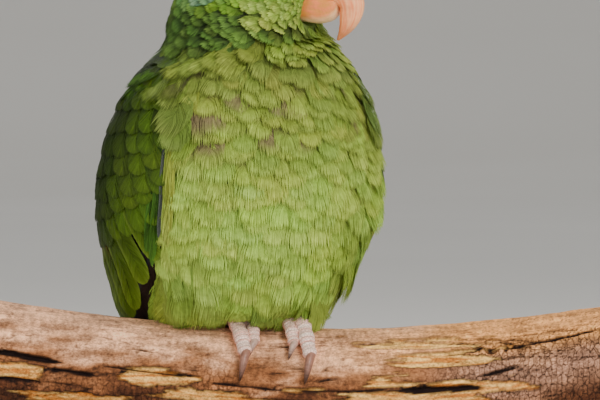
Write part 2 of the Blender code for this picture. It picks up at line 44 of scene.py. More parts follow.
# where the bird and its head stand, in millimetres and degrees; x is the bird's left, y its back
standing = {"perchTop": 140.0, "along": -4.5, "turn": 25.0, "headTurn": 43.0,
            "headAxis": (2.4, 11.6, 0.0), "tailLean": 31.0}


def turned(points, degrees):
    p = np.asarray(points, float)
    c, s = math.cos(math.radians(degrees)), math.sin(math.radians(degrees))
    return np.stack([p[..., 0] * c - p[..., 1] * s, p[..., 0] * s + p[..., 1] * c, p[..., 2]], -1)


def perchPoint(points):
    return (np.asarray(points, float) + (0, 0, standing["perchTop"])) * mm


def birdPoint(points):
    return perchPoint(turned(points, standing["turn"]) + (standing["along"], 0, 0))


def headPoint(points):
    return birdPoint(turned(points, standing["headTurn"]) + standing["headAxis"])


def birdWay(way):
    return turned(way, standing["turn"])


def headWay(way):
    return turned(way, standing["turn"] + standing["headTurn"])


def inBird(points):
    p = np.asarray(points, float) / mm - (standing["along"], 0, standing["perchTop"])
    return turned(p, -standing["turn"])


def inHead(points):
    return turned(inBird(points) - standing["headAxis"], -standing["headTurn"])


def unit(vectors):
    return vectors / np.maximum(np.linalg.norm(vectors, axis=-1, keepdims=True), 1e-12)


def ease(value, low=0.0, high=1.0):
    t = np.clip((np.asarray(value, float) - low) / (high - low), 0, 1)
    return t * t * (3 - 2 * t)


def ink(text):
    # a colour as painters write it, turned to scene-linear numbers
    c = np.array([int(text[k:k + 2], 16) / 255 for k in (0, 2, 4)])
    return np.where(c <= 0.04045, c / 12.92, ((c + 0.055) / 1.055) ** 2.4)


def curveRows(rows, count):
    # Catmull-Rom through a table's rows
    rows = np.asarray(rows, float)
    at = np.linspace(0, len(rows) - 1, count)
    i = np.minimum(at.astype(int), len(rows) - 2)
    t = (at - i)[:, None]
    p, q, r, s = (rows[np.clip(i + k, 0, len(rows) - 1)] for k in (-1, 0, 1, 2))
    square, cube = 2 * p - 5 * q + 4 * r - s, 3 * q - p - 3 * r + s
    return 0.5 * (2 * q + (r - p) * t + square * t ** 2 + cube * t ** 3)


def atHeight(table, height):
    # the row of a table at each height, read between its neighbours; the table runs downwards
    rows = np.array(table, float)[::-1]
    h = np.clip(height, rows[0, 0], rows[-1, 0])
    i = np.clip(np.searchsorted(rows[:, 0], h) - 1, 0, len(rows) - 2)
    low, high = rows[i], rows[i + 1]
    down = ((high[..., 0] - h) / (high[..., 0] - low[..., 0]))[..., None]
    down = down * down * (3 - 2 * down) * 0.4 + down * 0.6
    return (high + (low - high) * down)[..., 1:]


class Wire:
    # a socket that takes part in sums
    def __init__(self, finish, socket):
        self.finish, self.socket = finish, socket

    def sum(self, operation, *values):
        return self.finish.node("Math", {"operation": operation}, dict(enumerate(values)))

    def __add__(self, other):
        return self.sum("ADD", self, other)

    def __radd__(self, other):
        return self.sum("ADD", other, self)

    def __sub__(self, other):
        return self.sum("SUBTRACT", self, other)

    def __rsub__(self, other):
        return self.sum("SUBTRACT", other, self)

    def __mul__(self, other):
        return self.sum("MULTIPLY", self, other)

    def __rmul__(self, other):
        return self.sum("MULTIPLY", other, self)


class Finish:
    # one material: its nodes, and the shader that they feed
    def __init__(self, name, **flat):
        self.material = bpy.data.materials.new(name)
        self.material.use_nodes = True
        self.tree = self.material.node_tree
        self.tree.nodes.clear()
        self.shader = self.tree.nodes.new("ShaderNodeBsdfPrincipled")
        out = self.tree.nodes.new("ShaderNodeOutputMaterial")
        self.tree.links.new(self.shader.outputs[0], out.inputs[0])
        for key, value in flat.items():
            self.shader.inputs[key.replace("_", " ")].default_value = value

    def node(self, kind, settings=None, sockets=None, out=0):
        made = self.tree.nodes.new("ShaderNode" + kind)
        for key, value in (settings or {}).items():
            if key == "stops":
                for n, (place, colour) in enumerate(value):
                    stop = made.color_ramp.elements[n] if n < 2 else made.color_ramp.elements.new(place)
                    stop.position, stop.color = place, (*colour, 1) if len(colour) == 3 else colour
            else:
                setattr(made, key, value)
        for key, value in (sockets or {}).items():
            if isinstance(value, Wire):
                self.tree.links.new(value.socket, made.inputs[key])
            else:
                made.inputs[key].default_value = value
        return Wire(self, made.outputs[out])

    def tint(self):
        # the colour that each mesh carries on its points
        return self.node("Attribute", {"attribute_name": "tint"})

    def noise(self, scale, detail=3.0, stretch=None, rough=0.5, warp=0.0):
        place = self.node("TexCoord", out=3)
        if stretch:
            place = self.node("VectorMath", {"operation": "MULTIPLY"}, {0: place, 1: stretch})
        return self.node("TexNoise", {}, {"Vector": place, "Scale": scale, "Detail": detail,
                                          "Roughness": rough, "Distortion": warp})

    def mix(self, share, first, second, way="MIX"):
        if not isinstance(first, Wire):
            first = (*first, 1)
        if not isinstance(second, Wire):
            second = (*second, 1)
        return self.node("Mix", {"data_type": "RGBA", "blend_type": way}, {0: share, 6: first, 7: second}, 2)

    def ramp(self, value, *stops):
        return self.node("ValToRGB", {"stops": stops}, {0: value})

    def feed(self, **wires):
        for key, wire in wires.items():
            self.tree.links.new(wire.socket, self.shader.inputs[key.replace("_", " ")])
        return self.material

    def bump(self, height, strength, distance):
        return self.node("Bump", {}, {"Height": height, "Strength": strength, "Distance": distance * mm})


def featherFinish(name, roughness, mottle):
    f = Finish(name, Roughness=roughness, Specular_IOR_Level=0.09)
    fine = f.ramp(f.noise(420, 2.0), (0.25, (0.35, 0.35, 0.35)), (0.75, (1.4, 1.4, 1.4)))
    return f.feed(Base_Color=f.mix(mottle, f.tint(), fine, "MULTIPLY"))


finishes = {}


def shadeMaterials():
    finishes["feather"] = featherFinish("featherGreen", 0.62, 0.35)
    finishes["quill"] = featherFinish("featherQuill", 0.5, 0.2)
    skin = Finish("plumageSkin", Roughness=0.9, Specular_IOR_Level=0.0)
    # dark patches on the layer under the coat: painted shade in the coat's depths
    patches = skin.noise(300, 3.0) * 0.6
    finishes["skin"] = skin.feed(Base_Color=skin.mix(patches, skin.tint(), (0.09, 0.10, 0.07)))

    horn = Finish("billHorn", Specular_IOR_Level=0.5, Subsurface_Weight=0.12,
                  Subsurface_Radius=(0.002, 0.0009, 0.0005), Subsurface_Scale=1.0)
    layers = horn.noise(90, 4.0, (1.0, 1.0, 2.2))
    grain = horn.noise(700, 3.0, (1.0, 1.0, 0.35))
    bands = horn.ramp(layers, (0.3, (0.62, 0.55, 0.5)), (0.7, (1.25, 1.2, 1.15)))
    finishes["horn"] = horn.feed(
        Base_Color=horn.mix(0.4, horn.tint(), bands, "MULTIPLY"),
        Roughness=0.30 + 0.22 * layers,
        Normal=horn.bump(grain * 0.6 + layers, 0.35, 0.12))

    flesh = (0.002, 0.001, 0.0007)         # how far light goes in bare skin: red, green, blue
    bare = Finish("bareSkin", Roughness=0.5, Subsurface_Weight=0.15, Subsurface_Radius=flesh,
                  Subsurface_Scale=1.0)
    cells = bare.node("TexVoronoi", {}, {"Vector": bare.node("TexCoord", out=3), "Scale": 1300.0})
    finishes["bare"] = bare.feed(Base_Color=bare.mix(cells * 0.5, bare.tint(), (0.30, 0.26, 0.23)),
                                 Normal=bare.bump(cells, 0.5, 0.2))

    scaly = Finish("scalyToes", Roughness=0.46, Subsurface_Weight=0.10, Subsurface_Radius=flesh,
                   Subsurface_Scale=1.0)
    tint = scaly.tint()
    place = scaly.node("TexCoord", out=3)
    cells = scaly.node("TexVoronoi", {"feature": "DISTANCE_TO_EDGE"}, {"Vector": place, "Scale": 850.0})
    groove = scaly.ramp(cells, (0.0, (0, 0, 0)), (0.16, (1, 1, 1)))
    # the grooves between the scales darker: their own darker skin, deepened with painted shade
    finishes["scaly"] = scaly.feed(
        Base_Color=scaly.mix(groove, scaly.mix(0.55, tint, (0.22, 0.13, 0.11)), tint),
        Normal=scaly.bump(groove, 0.55, 0.18))

    claw = Finish("clawHorn", Roughness=0.33, Specular_IOR_Level=0.5)
    streak = claw.noise(500, 3.0)
    shade = claw.ramp(streak, (0.3, (0.5, 0.48, 0.46)), (0.7, (1.4, 1.38, 1.35)))
    finishes["claw"] = claw.feed(Base_Color=claw.mix(0.5, claw.tint(), shade, "MULTIPLY"),
                                 Roughness=0.25 + 0.25 * streak, Normal=claw.bump(streak, 0.2, 0.1))

    eye = Finish("eyeWet", Roughness=0.12, Coat_Weight=1.0, Coat_Roughness=0.03, Specular_IOR_Level=0.5)
    finishes["eye"] = eye.feed(Base_Color=eye.tint())

    bark = Finish("bark", Specular_IOR_Level=0.2)
    # the tint's fourth number: where the bark shows cells
    crackle = bark.node("Attribute", {"attribute_name": "tint"}, out=3)
    fibre = bark.noise(300, 6.0, (0.25, 1.0, 1.0), 0.62)
    grit = bark.noise(1150, 4.0, (0.7, 1.0, 1.0), 0.7)
    cellsPerMetre = 330.0
    wobble = bark.node("TexNoise", {}, {"Scale": cellsPerMetre, "Detail": 2.0}, out=1)
    wobble = bark.node("VectorMath", {"operation": "SCALE"}, {0: wobble, "Scale": 0.0018})
    place = bark.node("TexCoord", out=3)
    web = bark.node("VectorMath", {"operation": "MULTIPLY"}, {0: place, 1: (1.25, 0.72, 0.72)})
    web = bark.node("VectorMath", {"operation": "ADD"}, {0: web, 1: wobble})
    cells = bark.node("TexVoronoi", {"feature": "DISTANCE_TO_EDGE"},
                      {"Vector": web, "Scale": cellsPerMetre, "Randomness": 0.7})
    gaps = {0: cells, 1: 0.0, 2: 0.07, 3: 1.0, 4: 0.0}       # from and to: one at the cells' edges, then none
    gaps = bark.node("MapRange", {"interpolation_type": "SMOOTHSTEP"}, gaps) * crackle
    weather = bark.ramp(fibre * 0.4 + grit * 0.6, (0.38, (0.36, 0.30, 0.27)), (0.62, (1.65, 1.62, 1.58)))
    tone = bark.mix(0.85, bark.tint(), weather, "MULTIPLY")
    # the cells' edges darker: fine cracks in their own dark, deepened with painted shade
    finishes["bark"] = bark.feed(
        Base_Color=bark.mix(gaps * 0.85, tone, tuple(ink("2a160d"))),
        Roughness=0.66 + 0.3 * grit,
        Normal=bark.bump(fibre * 0.6 + grit * 0.6 - gaps * 0.8, 0.8, 0.6))

    wood = Finish("standWood", Specular_IOR_Level=0.4, Coat_Weight=0.12, Coat_Roughness=0.25)
    wave = wood.noise(11, 4.0, (0.35, 2.2, 2.2), 0.55, 0.6)
    rings = wood.node("Math", {"operation": "FRACT"}, {0: wave * 9.0})
    pores = wood.noise(900, 2.0, (0.05, 1.0, 1.0))
    rings = wood.node("Math", {"operation": "PINGPONG"}, {0: rings, 1: 0.5}) * 1.4
    tone = wood.mix(rings, tuple(ink("4a3020")), tuple(ink("76512f")))
    specks = wood.ramp(pores, (0.35, (0.4, 0.36, 0.33)), (0.55, (1.1, 1.1, 1.1)))
    finishes["wood"] = wood.feed(Base_Color=wood.mix(0.6, tone, specks, "MULTIPLY"),
                                 Roughness=0.34 + 0.2 * pores, Normal=wood.bump(pores, 0.25, 0.1))

    metal = Finish("standSteel", Metallic=1.0)
    brushed = metal.noise(600, 3.0, (1.0, 1.0, 0.06))
    steel = metal.ramp(brushed, (0.2, (0.34, 0.33, 0.32)), (0.8, (0.52, 0.51, 0.49)))
    finishes["metal"] = metal.feed(Base_Color=steel, Roughness=0.26 + 0.22 * brushed)

    floor = Finish("studioPaper", Roughness=0.9, Specular_IOR_Level=0.1)
    grey = floor.ramp(floor.noise(1.3, 2.0), (0.2, (0.78, 0.76, 0.73)), (0.8, (0.82, 0.80, 0.77)))
    finishes["paper"] = floor.feed(Base_Color=grey)


def meshPiece(name, points, faces, material, tint=None, uv=None, smooth=True, body="root"):
    # a mesh from arrays; faces are triangles or quads
    faces = np.asarray(faces, np.int32)
    sides = faces.shape[1]
    mesh = bpy.data.meshes.new(name)
    mesh.vertices.add(len(points))
    mesh.vertices.foreach_set("co", np.ascontiguousarray(points, np.float32).ravel())
    mesh.loops.add(faces.size)
    mesh.loops.foreach_set("vertex_index", faces.ravel())
    mesh.polygons.add(len(faces))
    mesh.polygons.foreach_set("loop_start", np.arange(len(faces), dtype=np.int32) * sides)
    if tint is not None:
        colour = mesh.attributes.new("tint", "FLOAT_COLOR", "POINT")
        rgba = np.ones((len(points), 4), np.float32)
        rgba[:, :np.shape(tint)[-1]] = tint
        colour.data.foreach_set("color", rgba.ravel())
    if uv is not None:
        unwrap = mesh.uv_layers.new(name="OFBake")
        unwrap.data.foreach_set("uv", np.asarray(uv, np.float32)[faces.ravel()].ravel())
    mesh.update(calc_edges=True)
    mesh.polygons.foreach_set("use_smooth", np.full(len(faces), smooth))
    mesh.materials.append(material)
    piece = bpy.data.objects.new(name, mesh)
    bpy.context.scene.collection.objects.link(piece)
    if body:
        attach(piece, body)
    return piece


def gridFaces(rows, columns, closed=True, offset=0):
    # quads between rows of points; closed joins each row's end to its start
    r, c = np.meshgrid(np.arange(rows - 1), np.arange(columns if closed else columns - 1), indexing="ij")
    a, b = r * columns + c, r * columns + (c + 1) % columns
    return (np.stack([a, b, b + columns, a + columns], -1).reshape(-1, 4) + offset).astype(np.int32)


def closedTube(rings):
    # points and triangles over rings (rows, columns, 3), with each end gathered to a point
    rows, columns = rings.shape[:2]
    n = rows * columns
    quads = gridFaces(rows, columns)
    k = np.arange(columns)
    after = (k + 1) % columns
    first = np.stack([np.full(columns, n), after, k], -1)
    last = np.stack([np.full(columns, n + 1), n - columns + k, n - columns + after], -1)
    faces = np.concatenate([quads[:, [0, 1, 2]], quads[:, [0, 2, 3]], first, last])
    return np.concatenate([rings.reshape(-1, 3), rings[:1].mean(1), rings[-1:].mean(1)]), faces


def ringTints(tint):
    # the colours of a closed tube's points: its rings' own, then one for each end
    return np.concatenate([tint.reshape(-1, 3), tint[0, :1], tint[-1, :1]])


def loftPiece(name, rings, material, tint, flip=True):
    points, faces = closedTube(rings)
    return meshPiece(name, points, faces[:, ::-1] if flip else faces, material, ringTints(tint))


def tubeRings(centres, radii, sides, up=(0, 0, 1)):
    # rings square to a path; radii are (rows,) or (rows, sides); returns rings and their angles
    centres = np.asarray(centres, float)
    along = unit(np.gradient(centres, axis=0))
    side = unit(np.cross(along, np.asarray(up, float)))
    top = np.cross(side, along)
    a = np.linspace(0, 2 * np.pi, sides, endpoint=False)
    radii = np.asarray(radii, float)
    if radii.ndim == 1:
        radii = radii[:, None] * np.ones(sides)
    outward = side[:, None] * np.sin(a)[None, :, None] + top[:, None] * np.cos(a)[None, :, None]
    return centres[:, None] + radii[..., None] * outward, a


def fieldNoise(points, scale, octaves=4):
    # smooth noise at points (..., 3), about -1 to 1
    points = np.asarray(points, float)
    made = [noise.fractal(Vector(p) * scale, 1.0, 2.0, octaves) for p in points.reshape(-1, 3)]
    return np.array(made).reshape(points.shape[:-1])


def toward(colour, other, share):
    # colours moved a share of the way to another
    return colour + (other - colour) * np.asarray(share)[..., None]


def bellAt(value, middle, wide):
    return np.exp(-((value - middle) / wide) ** 2)


# the body under the coat, in mm, and the feathers' room and length, as shares of their half width
coat = {"voxel": 1.7, "grow": 0.6, "soften": 7, "evenings": 12, "roots": 150000, "lidRoom": 6.35,
        "across": 1.62, "along": 0.82, "length": 3.0, "mostTriangles": 190000,
        # how far from the bill a feather grows, and its half width
        "sizes": ((5, 0.95), (14, 1.35), (26, 2.2), (38, 3.1), (52, 4.3), (66, 5.8), (90, 6.8), (150, 6.6),
                  (190, 5.4))}
# folds of the loose coat, seen from the front: across, height, their half sizes, how far they swell or sink
folds = ((-17, 121, 12, 7, 2.2), (25, 122, 10, 10, 2.0), (9, 120, 3.5, 9, -1.8),
         (-30, 100, 9, 8, 1.2), (-6, 100, 14, 5, 1.2), (22, 96, 9, 7, 1.2))
# the crease between the neck's coat and the breast's; it rises to the left
crease = {"low": 128.0, "slope": 0.17, "wide": 2.6, "deep": 2.4}
fleshNodes = ("trunk", "neck", "head", "thigh_l", "thigh_r", "tail_coverts", "wing_l_coverts",
              "wing_r_coverts")
billRoot = headPoint((0, -30, 152))
lean = math.radians(standing["tailLean"])
tailWay = birdWay((0, math.sin(lean), -math.cos(lean)))
eyeForm = {"place": (15.6, -18.0, 163.5), "looks": (0.95, -0.28, 0.06),
           "radius": 5.2, "pupil": 1.95, "iris": 4.0,
           "amber": "d8801f", "rim": "f0b13a", "limbus": "3a1c0c", "bare": "cfc8bd", "margin": "5c4a44",
           # the plug that fills the socket in the skin: how deep its middle lies, half width and half depth
           "plug": (6.2, 8.7, 7.2),
           # the lids: outer and inner radius, rings between them, and how far out they are looked for
           "lids": (7.6, 4.05, 40, 12)}


def eyeIn(side):
    # an eye's centre and the way that it looks, in the head's frame
    mirror = (side, 1, 1)
    return np.array(eyeForm["place"]) * mirror, unit(np.array(eyeForm["looks"]) * mirror)


eyes = {side: headPoint(eyeIn(side)[0]) for side in (-1, 1)}
gaze = {side: headWay(eyeIn(side)[1]) for side in (-1, 1)}


def creaseHeight(b):
    # how far points stand above the neck's crease
    return b[:, 2] - crease["low"] - crease["slope"] * b[:, 0]


def nodeTree(names):
    points, faces = [], []
    for name in names:
        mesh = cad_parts[name].data
        mesh.calc_loop_triangles()
        base = len(points)
        points += [v.co.copy() for v in mesh.vertices]
        faces += [tuple(base + i for i in t.vertices) for t in mesh.loop_triangles]
    return BVHTree.FromPolygons(points, faces)


def fleshMesh():
    # the flesh nodes, each a little swollen so that they run together, remeshed as one and softened
    bm = bmesh.new()
    for name in fleshNodes:
        part = bmesh.new()
        part.from_mesh(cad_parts[name].data)
        bmesh.ops.remove_doubles(part, verts=part.verts, dist=1e-6)
        bmesh.ops.recalc_face_normals(part, faces=part.faces)
        part.normal_update()
        for v in part.verts:
            v.co += v.normal * coat["grow"] * mm
        swollen = bpy.data.meshes.new("swollen")
        part.to_mesh(swollen)
        part.free()
        bm.from_mesh(swollen)
        bpy.data.meshes.remove(swollen)
    sunk, across, tall = eyeForm["plug"]
    for side, centre in eyes.items():      # the sockets are filled, so that the coat runs up to the lids
        facing = Vector(gaze[side]).to_track_quat("Z", "Y").to_matrix().to_4x4()
        place = Matrix.Translation(Vector(centre - gaze[side] * sunk * mm))
        plug = place @ facing @ Matrix.Diagonal((across * mm, across * mm, tall * mm, 1))
        bmesh.ops.create_icosphere(bm, subdivisions=4, radius=1.0, matrix=plug)
    mesh = bpy.data.meshes.new("flesh")
    bm.to_mesh(mesh)
    bm.free()
    body = bpy.data.objects.new("flesh", mesh)
    bpy.context.scene.collection.objects.link(body)
    remesh = body.modifiers.new("one", "REMESH")
    remesh.mode, remesh.voxel_size = "VOXEL", coat["voxel"] * mm
    soft = body.modifiers.new("soft", "SMOOTH")
    soft.factor, soft.iterations = 0.5, coat["soften"]
    shaped = bpy.data.meshes.new_from_object(body.evaluated_get(bpy.context.evaluated_depsgraph_get()))
    bpy.data.objects.remove(body)
    bm = bmesh.new()
    bm.from_mesh(shaped)
    bmesh.ops.triangulate(bm, faces=bm.faces)
    bm.normal_update()
    p = np.array([v.co for v in bm.verts]) / mm
    facing = ease(-np.array([v.normal for v in bm.verts])[:, 1], -0.1, 0.5)
    high, b = p[:, 2] - standing["perchTop"], inBird(p * mm)
    push = np.zeros(len(p))
    for x, z, wide, tall, far in folds:
        push += far * np.exp(-((p[:, 0] - x) / wide) ** 2 - ((high - z) / tall) ** 2)
    push -= crease["deep"] * bellAt(creaseHeight(b), 0, crease["wide"])
    for v, far in zip(bm.verts, push * facing):
        v.co += v.normal * far * mm
    bm.to_mesh(shaped)
    bm.free()
    return shaped


def arrays(mesh):
    # a triangle mesh's points, normals and faces
    points = np.zeros(len(mesh.vertices) * 3, np.float32)
    mesh.vertices.foreach_get("co", points)
    normals = np.zeros(len(mesh.vertices) * 3, np.float32)
    mesh.vertices.foreach_get("normal", normals)
    faces = np.zeros(len(mesh.polygons) * 3, np.int32)
    mesh.polygons.foreach_get("vertices", faces)
    return points.reshape(-1, 3).astype(float), normals.reshape(-1, 3).astype(float), faces.reshape(-1, 3)


def halfWidthAt(points):
    # half a feather's width, by how far it grows from the bill, smaller on the thighs
    far = np.linalg.norm(points - billRoot, axis=-1) / mm
    half = np.interp(far, *zip(*coat["sizes"]))
    b, h = inBird(points), inHead(points)
    throat = ease(-h[..., 1], 2, 18) * ease(h[..., 2], 149, 141) * ease(far, 7, 20) * ease(far, 62, 40)
    half = half * (1 + 0.75 * throat)                # the throat's are large and soft
    for side in (-1, 1):
        leg = np.linalg.norm(b - (side * 16.5, 2, 12), axis=-1)
        half = half + (3.6 - half) * (1 - ease(leg, 12, 24)) * (b[..., 2] < 22)
    return half


def depthAt(half):
    # how deep the coat is, by its feathers' half width
    return np.clip(half * 0.76, 0.75, 4.8)


# each part's main colour and its feathers' tips
palette = {
    "breast": ("748a2e", "8a9c42"), "breastDeep": ("667d37", "869545"), "belly": ("89a93f", "a2bd52"),
    "emerald": ("6fa03a", "90ba4c"), "neck": ("25371a", "5a7d33"), "throat": ("76943a", "9bb254"),
    "cheek": ("5a8a1c", "7ba42a"), "crown": ("a01a10", "c4281a"), "lilac": ("5576b4", "7c98ca"),
    "back": ("34540f", "4e7120"), "tailCovert": ("5f8a2c", "86a43f"), "down": ("735d4e", "735d4e"),
}
shades = {key: np.array([ink(a), ink(b)]) for key, (a, b) in palette.items()}


def markings(points):
    # the bird's colours by place: each point's main colour and its feathers' tip colour, (n, 2, 3)
    b, h = inBird(points), inHead(points)
    wander = fieldNoise(points, 60, 2)

    def blend(colours, key, share):
        return colours + (shades[key][None] - colours) * share[:, None, None]

    c = np.repeat(shades["breast"][None], len(b), 0)
    c = blend(c, "belly", ease(b[:, 2] + 8 * wander, 95, 45))
    above = creaseHeight(b)
    c = blend(c, "breastDeep", ease(b[:, 2] + 6 * wander, 92, 112) * (0.8 - 0.65 * ease(above, -16, -7)))
    c = blend(c, "emerald", ease(wander, -0.1, 0.5) * ease(b[:, 2], 95, 60) * ease(-b[:, 1], 5, 30) * 0.42)
    c = blend(c, "back", ease(b[:, 1] + 6 * wander, 18, 34) * ease(b[:, 2], 0, 30))
    c = blend(c, "tailCovert", ease(b[:, 2] + 5 * wander, 12, -8) * ease(b[:, 1], 4, 20))
    c = blend(c, "back", ease(np.abs(b[:, 0]) + b[:, 1] + 3 * wander, 46, 58) * ease(b[:, 2], 88, 100))
    c = blend(c, "neck", ease(above + 2 * wander, -5, 1))
    c = blend(c, "cheek", ease(h[:, 2] + 3 * wander, 136, 148) * ease(b[:, 2], 122, 134))
    throat = ease(-h[:, 1] + 4 * wander, 0, 12) * ease(h[:, 2], 152, 143) * ease(b[:, 2], 128, 133)
    c = blend(c, "throat", throat)
    # painted shade: the colours darken at the very bottom of the front, under the belly between the toes
    c = c * (1 - 0.25 * ease(b[:, 2], 6, 1) * ease(b[:, 1], 24, 10))[:, None, None]
    high = points[:, 2] / mm - standing["perchTop"]
    flank = ease(points[:, 0] / mm, 30, 34) * ease(high + 3 * wander, 42, 34) * (b[:, 1] < 40)
    c = blend(c, "back", flank * 0.4)
    band = bellAt(h[:, 2] + 0.35 * (h[:, 1] + 18), 166, 6.5)
    band = band * ease(h[:, 1], -12, -4) * ease(h[:, 1], 32, 12)
    c = blend(c, "lilac", np.clip(band * (0.9 + 0.5 * wander), 0, 1) * (b[:, 2] > 120) * 0.9)
    crown = ease(h[:, 2] + 2.0 * wander, 170.5, 174.5) * ease(h[:, 1] + 3 * wander, 14, 2)
    crown = np.maximum(crown, ease(h[:, 2] + wander, 163.5, 166) * ease(h[:, 1] + 1.5 * wander, -21, -26))
    c = blend(c, "crown", crown * (b[:, 2] > 140))
    return c


class Skin:
    # the guide is the coat's outer shape, the skin lies under it by the coat's depth
    def __init__(self):
        self.mesh = fleshMesh()
        self.points, self.normals, self.faces = arrays(self.mesh)
        self.tree = BVHTree.FromPolygons(self.points.tolist(), self.faces.tolist())
        half = halfWidthAt(self.points)
        depth = depthAt(half)
        coverts = nodeTree(("wing_l_coverts", "wing_r_coverts"))
        near = np.array([coverts.find_nearest(Vector(p))[3] for p in self.points]) / mm
        flat = self.points - self.points.mean(0)
        outward = (unit(flat * (1, 1, 0)) * self.normals).sum(1)
        depth = np.where(near < 1.6, 0.6 + 3.6 * ease(outward, -0.5, 0.1), depth)
        self.wing = ease(near, 3.5, 1.5)
        for _ in range(coat["evenings"]):      # the depth changes slowly, so the skin stays smooth
            spread = np.zeros(len(depth))
            count = np.zeros(len(depth))
            for a, b in ((0, 1), (1, 2), (2, 0)):
                np.add.at(spread, self.faces[:, a], depth[self.faces[:, b]])
                np.add.at(count, self.faces[:, a], 1)
            depth = 0.5 * depth + 0.5 * spread / np.maximum(count, 1)
        self.inner = self.points - self.normals * depth[:, None] * mm
        b = inBird(self.inner)                 # under the coverts the skin stays well below the surface
        guide = atHeight(wing["guide"], b[:, 2])
        flat = np.stack([np.abs(b[:, 0]), b[:, 1] - guide[:, 3]], -1)
        deep = np.where(flat[:, 1] < 0, guide[:, 1], guide[:, 2])
        reach = np.linalg.norm(flat, axis=1)
        high = reach * (1 - 1 / np.maximum(np.hypot(flat[:, 0] / guide[:, 0], flat[:, 1] / deep), 0.05))
        sink = np.clip(high + 3.4, 0, 6) * self.wing * ease(b[:, 2], 116, 108) / np.maximum(reach, 1)
        b[:, 0] -= b[:, 0] * sink
        b[:, 1] -= flat[:, 1] * sink
        self.inner = birdPoint(b)
        self.mesh.vertices.foreach_set("co", self.inner.astype(np.float32).ravel())
        self.mesh.update()
        self.innerTree = BVHTree.FromPolygons(self.inner.tolist(), self.faces.tolist())

    def build(self):
        piece = bpy.data.objects.new("plumageSkin", self.mesh)
        bpy.context.scene.collection.objects.link(piece)
        self.mesh.uv_layers.new(name="OFBake")
        bpy.context.view_layer.objects.active = piece
        piece.select_set(True)
        bpy.ops.object.mode_set(mode="EDIT")
        bpy.ops.mesh.select_all(action="SELECT")
        bpy.ops.uv.smart_project(angle_limit=math.radians(70), island_margin=0.004)
        bpy.ops.object.mode_set(mode="OBJECT")
        piece.select_set(False)
        flat = np.zeros(len(self.faces) * 6, np.float32)
        self.mesh.uv_layers["OFBake"].data.foreach_get("uv", flat)
        self.uv = flat.reshape(-1, 3, 2).astype(float)
        colour = self.mesh.attributes.new("tint", "FLOAT_COLOR", "POINT")
        rgba = np.ones((len(self.inner), 4), np.float32)
        # the skin takes the plumage's colours much darker, and darker still under the coverts: painted shade
        # for the coat's depths
        rgba[:, :3] = markings(self.points)[:, 0] * 0.62
        rgba[:, :3] += (ink(wingInk["covert"][0]) * 0.45 - rgba[:, :3]) * self.wing[:, None]
        colour.data.foreach_set("color", rgba.ravel())
        self.mesh.polygons.foreach_set("use_smooth", np.ones(len(self.mesh.polygons), bool))
        self.mesh.materials.clear()
        self.mesh.materials.append(finishes["skin"])
        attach(piece, "root")
        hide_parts(*fleshNodes)

    def rootUv(self, points):
        # where a feather's root falls on the skin's unwrap
        made = []
        for p in points:
            place, _, index, _ = self.innerTree.find_nearest(Vector(p))
            a, b, c = (Vector(self.inner[i]) for i in self.faces[index])
            u, v, w = (Vector((*self.uv[index, k], 0)) for k in range(3))
            made.append(barycentric_transform(place, a, b, c, u, v, w)[:2])
        return np.array(made)


# barbs are counted on each side; half width, length, ridge and shaft are in mm
# rings: places along a barb, and how wide it is there
# springs: how far back a barb leaves the shaft, at full width and at the tip; curve: how sideways it leaves
# first: where round the outline the first barb ends; gather: how far barbs hold together by threes
# joints are the shaft's; outline: shares of the length and of the half width
featherKinds = {
    "tiny": dict(barbs=12, half=1.6, length=4.8, rings=((0, 0.9), (0.72, 1.3)),
                 ragged=0.04, springs=(2.8, 1.7), curve=1.6, first=0.0, gather=0.3,
                 ridge=0.05, shaft=0.07, joints=3,
                 outline=((0, 0.5), (0.25, 0.85), (0.6, 1), (0.8, 0.94), (0.92, 0.75), (1, 0.35))),
    "small": dict(barbs=25, half=3.4, length=10.4, rings=((0, 0.9), (0.78, 1.3)),
                  ragged=0.045, springs=(6.2, 3.6), curve=1.6, first=0.0, gather=0.3,
                  ridge=0.07, shaft=0.09, joints=4,
                  outline=((0, 0.5), (0.2, 0.8), (0.55, 1), (0.8, 0.96), (0.92, 0.78), (0.97, 0.6),
                           (1, 0.32))),
    "body": dict(barbs=30, half=6.2, length=18.6, rings=((0, 0.7), (0.42, 1.1), (0.76, 1.15)), ragged=0.062,
                 springs=(11.0, 7.5), curve=2.4, first=0.3, gather=0.26, ridge=0.05, shaft=0.06, joints=5,
                 outline=((0, 0.5), (0.15, 0.8), (0.5, 1), (0.78, 0.99), (0.9, 0.87), (0.96, 0.7), (1, 0.4))),
    "covert": dict(barbs=36, half=6.0, length=19, rings=((0, 1.1), (0.9, 1.7)),
                   ragged=0.008, springs=(8.5, 3.2), curve=1.3, first=0.0, gather=0.0,
                   ridge=0.05, shaft=0.14, joints=5,
                   outline=((0, 0.4), (0.25, 0.85), (0.5, 1), (0.76, 0.99), (0.88, 0.84), (0.95, 0.6),
                            (1, 0.22))),
    "longCovert": dict(barbs=60, half=7.0, length=40, rings=((0, 1.1), (0.9, 1.7)),
                       ragged=0.006, springs=(11, 3.4), curve=1.3, first=0.0, gather=0.0,
                       ridge=0.05, shaft=0.26, joints=5,
                       outline=((0, 0.4), (0.2, 0.9), (0.5, 1), (0.84, 0.97), (0.93, 0.78), (0.975, 0.5),
                                (1, 0.15))),
    "flight": dict(barbs=110, half=8.0, length=76, rings=((0, 1.0), (0.5, 1.4), (0.92, 1.6)), ragged=0.004,
                   springs=(12.5, 3.4), curve=1.3, first=0.0, gather=0.0, ridge=0.055, shaft=0.42, joints=6,
                   outline=((0, 0.3), (0.12, 0.85), (0.35, 1), (0.88, 0.95), (0.95, 0.76), (0.985, 0.48),
                            (1, 0.15))),
}


